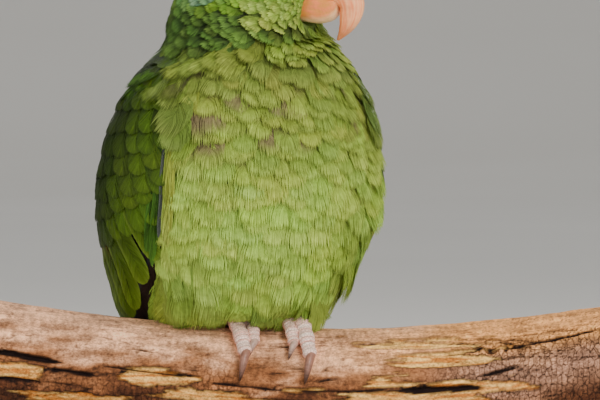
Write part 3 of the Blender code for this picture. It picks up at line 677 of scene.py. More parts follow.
def sliverFaces(rows, shaft=False):
    # the faces of a three-sided sliver with so many rings: its root, its sides and its point
    edges = ((1, 0), (2, 1), (0, 2)) if shaft else ((0, 1), (1, 2), (2, 0))
    faces = [(0, 1, 2) if shaft else (0, 2, 1)]
    last = 3 * rows - 3
    for a in range(0, last, 3):
        for i, j in edges:
            faces += [(a + i, a + j, a + 3 + j), (a + i, a + 3 + j, a + 3 + i)]
    return np.array(faces + [(last + i, last + j, 3 * rows) for i, j in edges])


def featherShape(kind, seed):
    # a feather laid flat, in mm: every barb is a closed sliver with a ridge, from the shaft to the outline
    spec = featherKinds[kind]
    rand = np.random.default_rng(seed)
    n, half, length = spec["barbs"], spec["half"], spec["length"]
    fractions, fat = np.array(spec["rings"]).T
    edge = np.array(spec["outline"])
    points, faces, marks, total = [], [], [], 0
    rows = len(fractions)
    t = (np.arange(n) + 0.5) / n
    fine = np.linspace(0.10, 1, 240)
    tipTurn = np.linspace(0, 1, 20)                # the outline goes on round the tip
    ox = np.append(half * np.interp(fine, edge[:, 0], edge[:, 1]), tipTurn[::-1] * half * edge[-1, 1])
    oy = np.append(fine * length, length + 0.02 * half * tipTurn)
    arc = np.append(0, np.cumsum(np.hypot(np.diff(ox), np.diff(oy))))
    for side in (-1, 1):
        q = spec["first"] + (1 - spec["first"]) * t ** 0.7 + rand.normal(0, 0.12 / n, n)
        q = np.clip(q, 0, 1) * arc[-1]
        endX, endY = np.interp(q, arc, ox), np.interp(q, arc, oy)
        back = spec["springs"][1] + (spec["springs"][0] - spec["springs"][1]) * endX / half
        start = np.sort(np.clip(endY - back, 0.01 * length, 0.93 * length)) + rand.normal(0, 0.03, n)
        clump = np.repeat(rand.normal(0, 1, n // 3 + 2), 3)[:n]
        grow = 1 + rand.normal(0, spec["ragged"], n) + clump * spec["ragged"] * 0.6
        group = np.arange(n) // 3
        for end in (endX, endY):                   # barbs hold together by threes towards their ends
            end += (np.bincount(group, end)[group] / np.bincount(group)[group] - end) * spec["gather"]
        endX = np.maximum(endX * grow + clump * spec["ragged"] * 0.5 * (t > 0.4), 0.04 * half)
        endY = start + (endY - start) * grow
        f = np.array([*fractions, 1.0])
        # a barb leaves sideways, then bends to the tip
        cx = endX[:, None] * (1 - (1 - f) ** spec["curve"])[None]
        cy = start[:, None] + (endY - start)[:, None] * (f - 0.34 * f * (1 - f))[None]
        dx, dy = np.gradient(cx, axis=1), np.gradient(cy, axis=1)
        size = np.hypot(dx, dy)
        dx, dy = dx / size, dy / size
        gapX, gapY = np.gradient(cx, axis=0), np.gradient(cy, axis=0)
        pitch = np.abs(gapX * dy - gapY * dx)
        pitch = np.maximum(0.5 * pitch + 0.5 * np.median(pitch, axis=0)[None], 0.05 * half)
        wide = pitch * 0.60 * np.array([*fat, 0.0])[None]
        lift = (rand.normal(0, 0.010 * half, n) + 0.03 * spec["gather"] * clump)[:, None]
        lift = lift + spec["ragged"] * half * 0.35 * f[None] ** 2 * rand.normal(0.2, 1, n)[:, None]
        block = np.zeros((n, rows * 3 + 1, 3))
        for r in range(rows):
            for k, (across, up) in enumerate(((-1, -0.03), (1, 0.02), (0, spec["ridge"]))):
                sideX, sideY = across * wide[:, r] * dy[:, r], across * wide[:, r] * dx[:, r]
                block[:, r * 3 + k] = np.stack([cx[:, r] + sideX, cy[:, r] - sideY, lift[:, r] + up], -1)
        block[:, -1] = np.stack([cx[:, -1], cy[:, -1], lift[:, -1]], -1)
        block[..., 0] *= side
        pattern = sliverFaces(rows)[:, ::-1] if side > 0 else sliverFaces(rows)
        starts = total + np.arange(n) * (rows * 3 + 1)
        faces.append((pattern[None] + starts[:, None, None]).reshape(-1, 3))
        along = np.repeat(np.repeat(f[:-1], 3)[None], n, 0)
        along = np.concatenate([along, np.ones((n, 1))], 1)
        shade = rand.normal(0, 1, n) + clump * (0.3 if kind == "body" else 0.8)
        shade = shade[:, None] * np.ones(rows * 3 + 1)
        marks.append(np.stack([along, shade, np.zeros_like(along)], -1).reshape(-1, 3))
        points.append(block.reshape(-1, 3))
        total += n * (rows * 3 + 1)
    rows = spec["joints"]                      # the shaft
    s = np.linspace(-0.06, 0.92, rows)
    thick = spec["shaft"] * (1 - 0.85 * np.linspace(0, 1, rows))
    block = [(c * thick[r], s[r] * length, z * thick[r] + spec["ridge"] * 0.5)
             for r in range(rows) for c, z in ((-1, -0.6), (1, -0.6), (0, 1.2))]
    block.append((0, 0.975 * length, 0.0))
    faces.append(sliverFaces(rows, shaft=True) + total)
    points.append(np.array(block))
    marks.append(np.tile((0, 0, 1), (rows * 3 + 1, 1)))
    points, faces, marks = np.concatenate(points), np.concatenate(faces), np.concatenate(marks)
    return {"x": points[:, 0] / half, "s": points[:, 1] / length, "z": points[:, 2], "faces": faces,
            "barb": marks[:, 0], "shade": marks[:, 1], "shaft": marks[:, 2]}


shapeStore = {}


def shapesOf(kind, count=5):
    if kind not in shapeStore:
        shapeStore[kind] = [featherShape(kind, 11 + 7 * k) for k in range(count)]
    return shapeStore[kind]


class Plume:
    # many feathers at once: paths (n, k, 3) and normals in metres, half widths in mm, colours (n, 3)
    def __init__(self, kind, paths, normals, half, colours, rootUv, tilt=0.0, cup=0.0,
                 slot="green_breast", finish="feather"):
        n = len(paths)
        self.kind, self.paths, self.normals, self.half = kind, paths, normals, half
        self.colours = colours                     # a dictionary: down, main, tip, edge, shaft
        self.rootUv, self.slot, self.finish = rootUv, slot, finish
        self.tilt, self.cup = np.broadcast_to(tilt, n), np.broadcast_to(cup, n)

    def some(self, own):
        # the chosen ones of these feathers
        colours = {key: value[own] for key, value in self.colours.items()}
        return Plume(self.kind, self.paths[own], self.normals[own], self.half[own], colours, self.rootUv[own],
                     self.tilt[own], self.cup[own], self.slot, self.finish)

    def lay(self, rand):
        shapes = shapesOf(self.kind)
        pick = rand.integers(0, len(shapes), len(self.paths))
        nominal = featherKinds[self.kind]["half"]
        points, faces, tints, uvs, total = [], [], [], [], 0
        for index, shape in enumerate(shapes):
            own = np.nonzero(pick == index)[0]
            if not len(own):
                continue
            paths, normals = self.paths[own], self.normals[own]
            steps = paths.shape[1] - 1
            s = np.clip(shape["s"], -0.2, 1.15)
            i = np.clip((s * steps).astype(int), 0, steps - 1)
            f = (s * steps - i)[None, :, None]
            place = paths[:, i] * (1 - f) + paths[:, i + 1] * f
            up = unit(normals[:, i] * (1 - f) + normals[:, i + 1] * f)
            before, after = np.clip(i - 1, 0, steps), np.clip(i + 2, 0, steps)
            onward = (paths[:, i + 1] - paths[:, before]) * (1 - f) + (paths[:, after] - paths[:, i]) * f
            side = unit(np.cross(unit(onward), up))
            half = self.half[own][:, None]
            x = shape["x"][None] * half
            z = shape["z"][None] * np.minimum(1.3, half / nominal)
            z = z + self.tilt[own][:, None] * x - self.cup[own][:, None] * x * x / half
            made = place + side * (x * mm)[..., None] + up * (z * mm)[..., None]
            tints.append(self.paint(own, shape, rand).reshape(-1, 3))
            patch = np.stack([shape["x"] * 0.5, np.clip(shape["s"], 0, 1) - 0.5], -1) * 0.003
            uvs.append((self.rootUv[own][:, None] + patch[None]).reshape(-1, 2))
            count = len(shape["s"])
            starts = total + np.arange(len(own)) * count
            faces.append((shape["faces"][None] + starts[:, None, None]).reshape(-1, 3))
            points.append(made.reshape(-1, 3))
            total += len(own) * count
        return np.concatenate(points), np.concatenate(faces), np.concatenate(tints), np.concatenate(uvs)

    def paint(self, own, shape, rand):
        c = {key: value[own][:, None] for key, value in self.colours.items()}
        s, barb = shape["s"][None, :, None], shape["barb"][None, :, None]
        bare = c["bare"] if "bare" in c else 0.0
        down = 1 - ease(s + 0.12 * barb - bare, 0.28, 0.62)
        tipShare = ease(s + 0.10 * barb, 0.62, 1.0)
        colour = c["main"] + (c["tip"] - c["main"]) * tipShare
        colour = colour + (c["edge"] - colour) * (ease(barb, 0.62, 1.0) * c["edging"])
        colour = colour + (c["down"] - colour) * down * c["downy"]
        colour = colour * (1 + 0.11 * shape["shade"][None, :, None] * c["streak"])
        colour = colour + (c["shaft"] - colour) * shape["shaft"][None, :, None]
        return np.clip(colour, 0.0, 1.0)


coatCount = {"triangles": 0, "feathers": 0}


def joined(parts):
    # several meshes as one: each is its points, its faces, and more rows for its points
    base, faces = 0, []
    for points, own, *_ in parts:
        faces.append(own + base)
        base += len(points)
    points, _, *more = (np.concatenate(rows) for rows in zip(*parts))
    return points, np.concatenate(faces), *more


def coatPiece(name, plumes, seed, nodes):
    # plumes become pieces that stand for the nodes, each of at most the coat's mostTriangles triangles
    rand = np.random.default_rng(seed)
    limit, number, gathered, weight = coat["mostTriangles"], 0, [], 0

    def close():
        nonlocal number, gathered, weight
        number += 1
        points, faces, tints, uvs = joined(gathered)
        piece = meshPiece(f"{name}{number}", points, faces, finishes[plumes[0].finish], tints, uvs,
                          smooth=False)
        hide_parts(*nodes)
        coatCount["triangles"] += len(faces)
        gathered, weight = [], 0

    for plume in plumes:
        each = len(shapesOf(plume.kind)[0]["faces"])
        batch = max(1, limit // each - 1)
        for start in range(0, len(plume.paths), batch):
            part = plume.some(slice(start, start + batch))
            size = each * len(part.paths)
            if gathered and weight + size > limit:
                close()
            gathered.append(part.lay(rand))
            weight += size
        coatCount["feathers"] += len(plume.paths)
    close()


def colourSet(main, tip, rand, edge=None, downy=1.0, edging=0.0, streak=1.0, vary=0.10, shaft=None):
    # each feather's own colours, a little lighter or darker than the next
    n = len(main)
    light = np.clip(1 + rand.normal(0, vary, (n, 1)), 0.6, 1.5)
    warm = 1 + rand.normal(0, 0.05, (n, 3)) * (1, 0.35, 1.2)
    main, tip = main * light * warm, tip * light * warm

    def full(value):
        return np.broadcast_to(np.asarray(value, float), (n, np.size(value))).copy()

    return {"main": main, "tip": tip, "edge": tip.copy() if edge is None else full(edge),
            "down": full(shades["down"][0]), "shaft": main * 0.85 if shaft is None else full(shaft),
            "downy": full(downy), "edging": full(edging), "streak": full(streak)}


def lieAt(points, normals):
    # which way the feathers point: away from the bill, down the body, back along the tail
    b = inBird(points)
    head = ease(b[:, 2], 108, 142)[:, None]
    away = unit(points - billRoot)
    down = unit(np.array([0, 0, -1.0]) + birdWay(b[:, :1] * (0.003, 0, 0)))
    back = np.maximum(ease(b[:, 1], 5, 45), ease(b[:, 2], 30, 2) * ease(b[:, 1], -22, 12))[:, None]
    way = away * head + (1 - head) * (down * (1 - back) + tailWay * back)
    for side, centre in eyes.items():              # the face's feathers part around the eyes
        gap = points - centre
        beside = np.linalg.norm(gap, axis=1)[:, None] < 14 * mm
        gap = gap - gaze[side] * (gap @ gaze[side])[:, None]
        far = np.linalg.norm(gap, axis=1)[:, None]
        inward = np.minimum((way * gap / far).sum(1, keepdims=True), 0)
        way = way - gap / far * (1.35 * inward - 0.25) * ease(far / mm, 12, 8) * beside
    return unit(way - normals * (way * normals).sum(-1, keepdims=True))


def eyeRoom(points):
    # how far, in mm, points on the head's sides stand from the axis of the nearer eye
    room = np.full(len(points), 99.0)
    for side, centre in eyes.items():
        gap = points - centre
        deep = gap @ gaze[side]
        far = np.linalg.norm(gap - gaze[side] * deep[:, None], axis=1) / mm
        room = np.where(np.abs(deep) < 9 * mm, np.minimum(room, far), room)
    return room


def scatterRoots(skin, rand):
    # roots over the body in staggered rows: from the tail up, each clears its own room, wider than long
    tris = skin.points[skin.faces]
    cross = np.cross(tris[:, 1] - tris[:, 0], tris[:, 2] - tris[:, 0])
    area = np.linalg.norm(cross, axis=1)
    centre = tris.mean(1)
    weight = area * np.interp(np.linalg.norm(centre - billRoot, axis=1) / mm, (10, 45, 90), (3.5, 1.8, 0.7))
    pick = rand.choice(len(tris), coat["roots"], p=weight / weight.sum())
    u, v = rand.random((2, coat["roots"], 1))
    u, v = np.where(u + v > 1, 1 - u, u), np.where(u + v > 1, 1 - v, v)
    points = tris[pick, 0] + (tris[pick, 1] - tris[pick, 0]) * u + (tris[pick, 2] - tris[pick, 0]) * v
    normals = unit(cross[pick])
    order = np.argsort(-np.linalg.norm(points - billRoot, axis=1))
    points, normals = points[order], normals[order]
    half = halfWidthAt(points)
    lie = lieAt(points, normals)
    across = np.cross(lie, normals)
    tree = KDTree(len(points))
    for i, p in enumerate(points):
        tree.insert(p, i)
    tree.balance()
    free = np.ones(len(points), bool)
    kept = []
    for i in range(len(points)):
        if not free[i]:
            continue
        kept.append(i)
        reach = half[i] * coat["across"] * mm
        near = np.array([j for _, j, _ in tree.find_range(points[i], reach)])
        gap = points[near] - points[i]
        a, l = gap @ across[i] / reach, gap @ lie[i] / (half[i] * coat["along"] * mm)
        free[near[a * a + l * l < 0.88]] = False
    kept = np.array(kept)
    return points[kept], normals[kept], half[kept]


def drape(skin, points, normals, half, rand, hang, steps=4):
    # each feather's path over the body: it leaves the skin and its tip lies at the coat's outer face
    n = len(points)
    way, b = lieAt(points, normals), inBird(points)
    loose = ease(b[:, 2], 84, 104) * ease(b[:, 2], 132, 122) * ease(-b[:, 1], -8, 10)
    yaw = rand.normal(0, 1, (n, 1)) * (0.09 + 0.20 * loose)[:, None]
    way = unit(way + np.cross(normals, way) * yaw)
    # the flanks' long feathers hang free
    left, right = ease(b[:, 2], 60, 42) * ease(b[:, 2], 10, 22), ease(b[:, 2], 46, 30) * ease(b[:, 2], 2, 8)
    tuft = ease(np.abs(b[:, 0]), 28, 42) * ease(b[:, 1], 30, 6) * np.where(b[:, 0] > 0, left, right)
    outward = (-0.1 + 1.0 * ease(b[:, 2], 40, 20)) * tuft * (b[:, 0] < 0)
    way = unit(way - birdWay((1, 0, 0)) * outward[:, None])
    # the left flank's feathers lie over the wing's edge
    over = ease(b[:, 0], 30, 42) * ease(b[:, 1], 26, 4) * ease(b[:, 2], 104, 92) * ease(b[:, 2], 50, 62)
    way = unit(way + birdWay((0.75, 0.35, 0)) * (over * (0.45 + 0.55 * ease(b[:, 2], 80, 66)))[:, None])
    # the neck's last row lies loose over the breast
    collar = ease(np.abs(creaseHeight(b) - 3.5), 4.5, 1.5) * ease(b[:, 1], 22, 0)
    # the belly's last feathers are long, and hang before the toes
    fringe = ease(b[:, 2], 38, 22) * ease(b[:, 1], 14, 0)
    # the left thigh's fluff hangs straight down to the branch
    low = ease(b[:, 0], 10, 20) * ease(b[:, 0], 31, 25) * ease(b[:, 2], 30, 16) * ease(b[:, 1], 16, 4)
    out = unit(normals + (birdWay((0.55, -0.83, 0)) - normals) * low[:, None])
    way = unit(way + (birdWay((0.12, -0.05, -1)) - way) * low[:, None])
    left = ease(b[:, 0], 2, 8) * ease(b[:, 0], 30, 22)
    way = unit(way - birdWay((0, 0.3, 0)) * (fringe * left * (1 - low))[:, None])
    longer = 0.55 * collar + 0.40 * tuft + 0.12 * loose + 0.95 * fringe + 0.25 * over + 0.3 * low
    length = half * coat["length"] * mm * (1 + rand.normal(0, 0.07, n) + longer)
    depth = depthAt(half) * mm
    paths, ups = [points - normals * (depth * 0.95)[:, None]], [out]
    at, up = points.copy(), out.copy()
    hang = np.maximum(hang, np.maximum(0.85 * tuft, 0.8 * np.maximum(over, low)))[:, None]
    lift = 0.05 + np.abs(rand.normal(0, 0.22, n)) * (1 + 2.0 * loose) + 2.6 * collar
    lift = lift * np.clip(half / 5, 0.25, 1) * mm
    for k in range(1, steps + 1):
        straight = at + way * (length / steps)[:, None]
        found = [skin.tree.find_nearest(Vector(p)) for p in straight]
        on = np.array([f[0] for f in found])
        face = np.array([f[1] for f in found])
        at = on * (1 - hang) + straight * hang
        up = unit(unit(face * 0.6 + up * 0.4) * (1 - hang) + up * hang)
        way = unit(unit(way - up * (way * up).sum(-1, keepdims=True)) + 0.12 * (1 - hang) * lieAt(at, up))
        s = k / steps
        paths.append(at + up * (-depth * (1 - s) ** 1.25 + lift * s ** 2)[:, None])
        ups.append(up)
    return np.stack(paths, 1), np.stack(ups, 1)


# the body coat's pieces: name, slot, the nodes they stand for
coatRegions = (("coatHead", "green_cheek", ("head", "neck")),
               ("coatBreast", "green_breast", ("trunk", "neck")),
               ("coatBack", "green_breast", ("trunk",)),
               ("coatVent", "green_breast", ("tail_coverts", "thigh_l", "thigh_r", "trunk")))
coatKinds = (("tiny", 0, 2.4), ("small", 2.4, 4.6), ("body", 4.6, 9))     # by half width


def buildBodyCoat(skin):
    rand = np.random.default_rng(21)
    points, normals, half = scatterRoots(skin, rand)
    coverts = nodeTree(("wing_l_coverts", "wing_r_coverts"))
    quills = nodeTree([f"wing_{s}_{layer}" for s in "lr" for layer in ("secondaries", "primaries")])
    bill = nodeTree(("beak_upper", "beak_lower", "cere"))
    tail = nodeTree(("tail",))
    b = inBird(points)
    lie, room, away = lieAt(points, normals), eyeRoom(points), np.zeros(len(points))
    for centre in eyes.values():                           # behind the lids, feathers start under their rim
        gap = points - centre
        away = np.where(np.linalg.norm(gap, axis=1) < 14 * mm, (unit(gap) * lie).sum(1), away)
    room = room - np.where(away > 0.25, 5.6, 6.3)
    aft = Vector(birdWay((0, 1, 0)))

    def covered(p, normal):
        # whether a root lies under the folded wing: layers met on the way out, straight and to both sides
        start = p + normal * 0.4 * mm
        ways = [(normal + aft * turn).normalized() for turn in (-0.8, 0, 0.8)]
        hits = sum(quills.ray_cast(start, way, 26 * mm)[0] is not None for way in ways)
        return hits == 3 or coverts.ray_cast(start, normal, 26 * mm)[0] is not None

    def wanted(i):
        p, shoulder = Vector(points[i]), b[i, 2] > 115
        if min(bill.find_nearest(p)[3], tail.find_nearest(p)[3]) < 0.9 * mm or room[i] < 0:
            return False
        return shoulder or not (coverts.find_nearest(p)[3] < 2.0 * mm or covered(p, Vector(normals[i])))

    keep = np.array([wanted(i) for i in range(len(points))])
    points, normals, half, b = points[keep], normals[keep], half[keep], b[keep]
    hang = ease(b[:, 2], 34, 14) * ease(b[:, 1], 12, -12) * 0.9
    paths, ups = drape(skin, points, normals, half, rand, hang)
    low = inBird(paths)[..., 2].min(1)                     # the fringe ends at the branch, not over its front
    toes = ease(np.abs(np.abs(b[:, 0]) - 15), 12, 7) * ease(b[:, 1], -4, -10)
    rise = np.clip(0.4 + 3.0 * toes - low, 0, 14) * (b[:, 1] < 12) * mm
    paths = paths + birdWay((0, 0, 1)) * rise[:, None, None]
    inward = eyeRoom(paths[:, 2:].reshape(-1, 3)).reshape(len(paths), -1).min(1) < coat["lidRoom"]
    # the right flank stops at the folded wing's front edge, where the primaries show
    x, y, high = inBird(paths[:, 3:].reshape(-1, 3)).T
    guide, front = atHeight(wing["guide"], high), atHeight(wing["front"], high)[:, 0]
    around = np.degrees(np.arctan2((y - guide[:, 3]) / guide[:, 1], -x / guide[:, 0]))
    beyond = around > front + np.where(high < 48, 1.0, 3.0)
    beyond &= (x < 0) & (y < 30) & (high > 19) & (high < 86)
    inward |= beyond.reshape(len(paths), -1).any(1)
    move = inBird(paths[:, -1]) - inBird(paths[:, 0])      # under the belly, none stands out level
    inward |= (b[:, 2] < 14) & (b[:, 1] < 20) & (-move[:, 2] < 0.3 * np.hypot(move[:, 0], move[:, 1]))
    paths, ups, points, half, b = (rows[~inward] for rows in (paths, ups, points, half, b))
    rootUv = skin.rootUv(paths[:, 0])
    mark = markings(paths[:, -1])
    neck = ease(b[:, 2], 108, 124)
    front = ease(-inHead(points)[:, 1], -4, 12)            # the throat's feathers have no dark edge
    soft = ease(half, 4.2, 5.2)[:, None]                   # the body's feathers differ less from base to tip
    # painted shade: the bases a little darker and the tips a little lighter, so that each row stands out from
    # the one above
    main = (mark[:, 0] + (mark[:, 1] - mark[:, 0]) * 0.35 * soft) * (1 - 0.08 * soft)
    vary = 0.08 + 0.07 * ease(b[:, 2], 80, 100) * (1 - neck)
    colours = colourSet(main, mark[:, 1] * (1 + 0.03 * soft), rand, vary=vary[:, None])
    colours["edge"] = mark[:, 0] * (0.22 + 0.3 * (1 - neck))[:, None]
    colours["edging"] = (0.8 * neck * (1 - 0.9 * front) * ease(half, 1.2, 2.2))[:, None]
    headFeather = half < 2.4
    colours["downy"] = (np.where(headFeather, 0.55, 0.8) * (1 - 0.75 * front * neck))[:, None]
    colours["down"] = toward(colours["down"], ink("333a22"), ease(b[:, 2], 116, 126) * (1 - 0.4 * front))
    colours["streak"] = np.where(half < 4.6, 1.0, 1.2)[:, None]
    beside = np.array([coverts.find_nearest(Vector(p))[3] for p in points]) / mm
    below = np.where(headFeather, 1.0, 0.15 + 0.85 * ease(b[:, 2], 45, 75))
    colours["downy"] = colours["downy"] * (ease(beside, 4, 9) * below)[:, None]
    upper = ease(b[:, 2], 84, 104) * ease(b[:, 2], 132, 124) * (b[:, 1] < 16)
    colours["bare"] = (upper * (rand.random(len(b)) < 0.24) * rand.uniform(0.25, 0.65, len(b)))[:, None]
    cup = np.where(headFeather, 0.10, 0.04)
    tilt = rand.normal(0, 0.07, len(points))
    region = np.where(b[:, 2] > 128, 0, np.where(b[:, 2] < 12, 3, np.where(b[:, 1] > 28, 2, 1)))
    for number, (name, slot, nodes) in enumerate(coatRegions):
        plumes = []
        for kind, low, high in coatKinds:
            own = (region == number) & (half >= low) & (half < high)
            if own.any():
                plumes.append(Plume(kind, paths, ups, half, colours, rootUv, tilt, cup, slot).some(own))
        coatPiece(name, plumes, 31 + number, nodes)
    print("body coat", len(points), "feathers", coatCount)


wing = {
    # the folded wing's surface: height, half width, depth before and behind its middle, and its middle
    "guide": ((124, 42, 37, 32, 10), (112, 52, 49, 38, 12), (100, 59, 55, 41, 14), (84, 64.5, 60, 44, 16),
              (66, 67, 64, 46, 18.5), (48, 66.5, 64.5, 47, 21.5), (30, 61.5, 58, 46, 27),
              (14, 54, 44, 40, 34), (-4, 44, 32, 31, 44), (-24, 31.5, 22, 22, 58), (-50, 21, 14, 14, 77)),
    # its front and back edges: height, degrees round the body from straight outward
    "front": ((124, -30), (100, -40), (60, -40), (30, -37), (3, -23), (-14, -5), (-50, 18)),
    "back": ((124, 36), (112, 54), (90, 70), (60, 80), (30, 86), (-50, 87)),
    "primaries": 9, "smallRows": 7,
    # each long secondary's tip: share of the way from front to back, height, how far it slants
    "secondaryTips": ((0.02, 31, 0.34), (0.055, 21, 0.34), (0.066, 9, 0.34), (0.108, 4, 0.34),
                      (0.16, 2, 0.33), (0.21, 1, 0.31), (0.27, 2, 0.28), (0.35, 3, 0.24), (0.43, 3, 0.19),
                      (0.51, 3, 0.15), (0.59, 3, 0.11), (0.67, 4, 0.08), (0.75, 6, 0.06), (0.84, 11, 0.04),
                      (0.93, 16, 0.02)),
    # long narrow feathers along the front edge: share, top, tip, half width, colour, how far sunk
    "edge": ((0.075, 84, 33, 2.2, "teal", 0.3), (0.052, 88, 29, 2.0, "teal", 0.0),
             (0.034, 88, 42, 1.2, "slate", -0.4), (0.020, 84, 44, 1.1, "edgeYellow", -0.8),
             (0.008, 88, 40, 1.5, "edgeYellow", -1.1), (-0.004, 90, 38, 1.3, "edgeYellow", -0.7)),
    # the breast's loose feathers over the shoulder: shares and heights of root and tip, half width
    "shoulder": ((-0.02, 0.055, 106, 87, 7.5), (-0.02, 0.01, 98, 80, 6.5), (0.0, 0.09, 114, 99, 6.5)),
    # rows of large coverts: how many, half width, tips as (share, height), length, slant, depth at root and
    # tip, how much they vary, dark edging, shift
    "greatRows": ((15, 6.4, ((0, 50), (0.1, 44), (0.3, 36), (0.6, 35), (1, 46)),
                   42, 0.16, (3.2, 1.0), 0.07, 0.4, 0.5),
                  (14, 6.6, ((0, 62), (0.1, 56), (0.3, 49), (0.6, 48), (1, 58)),
                   34, 0.10, (3.0, 0.4), 0.08, 0.5, 0.2)),
    # the tips' heights along the lowest and the highest row of small coverts, at the shares in smallAt
    "smallAt": (0, 0.1, 0.3, 0.6, 1), "smallLow": (66, 61, 57, 58, 67),
    "smallHigh": (113, 116, 118.5, 118.5, 116),
}
wingInk = {
    "covert": ("415915", "5a7520"), "coverEdge": "121c08", "great": ("3a5512", "55711e"),
    "secondary": ("34490e", "4c6518"), "secondaryEdge": "70882f", "primary": ("1d1512", "251d1c"),
    "primaryEdge": "2b3f4f", "edgeYellow": ("7c8a2c", "a5b752"), "slate": ("3a3f38", "525852"),
    "teal": ("2c4a13", "3c611f"), "speculum": "8f2018", "shaft": "141a0c",
}


def wingPoint(side, height, share, depth=0.0):
    # a point on the folded wing and the way out of it, in the bird's frame
    height, share = np.broadcast_arrays(np.asarray(height, float), np.asarray(share, float))
    guide = atHeight(wing["guide"], height)
    first, last = atHeight(wing["front"], height)[..., 0], atHeight(wing["back"], height)[..., 0]
    a = np.radians(first + (last - first) * share)
    half, centre = guide[..., 0], guide[..., 3]
    deep = np.where(a < 0, guide[..., 1], guide[..., 2])
    out = unit(np.stack([np.cos(a) / half, np.sin(a) / deep, np.zeros_like(a)], -1))
    p = np.stack([half * np.cos(a), centre + deep * np.sin(a), height], -1)
    p = p - out * np.asarray(depth)[..., None]
    p[..., 0] *= side
    out[..., 0] *= side
    return p, out


def wingPaths(side, share0, share1, z0, z1, depth0, depth1, steps=8):
    # feathers on the folded wing, from root to tip: shares of the way back, heights, and how deep they lie
    s = np.linspace(0, 1, steps + 1)[None]
    ends = np.broadcast_arrays(share0, share1, z0, z1, depth0, depth1)
    share0, share1, z0, z1, depth0, depth1 = (np.asarray(v, float).reshape(-1, 1) for v in ends)
    height, share = z0 + (z1 - z0) * s, share0 + (share1 - share0) * s
    depth = depth0 + (depth1 - depth0) * s ** 0.8
    p, out = wingPoint(side, height, share, depth)
    high = wingPoint(side, height + 1.0, share)[0] - wingPoint(side, height - 1.0, share)[0]
    wide = wingPoint(side, height, share + 0.01)[0] - wingPoint(side, height, share - 0.01)[0]
    up = unit(np.cross(wide, high))
    up = up * np.sign((up * out).sum(-1, keepdims=True))
    return birdPoint(p), birdWay(up)


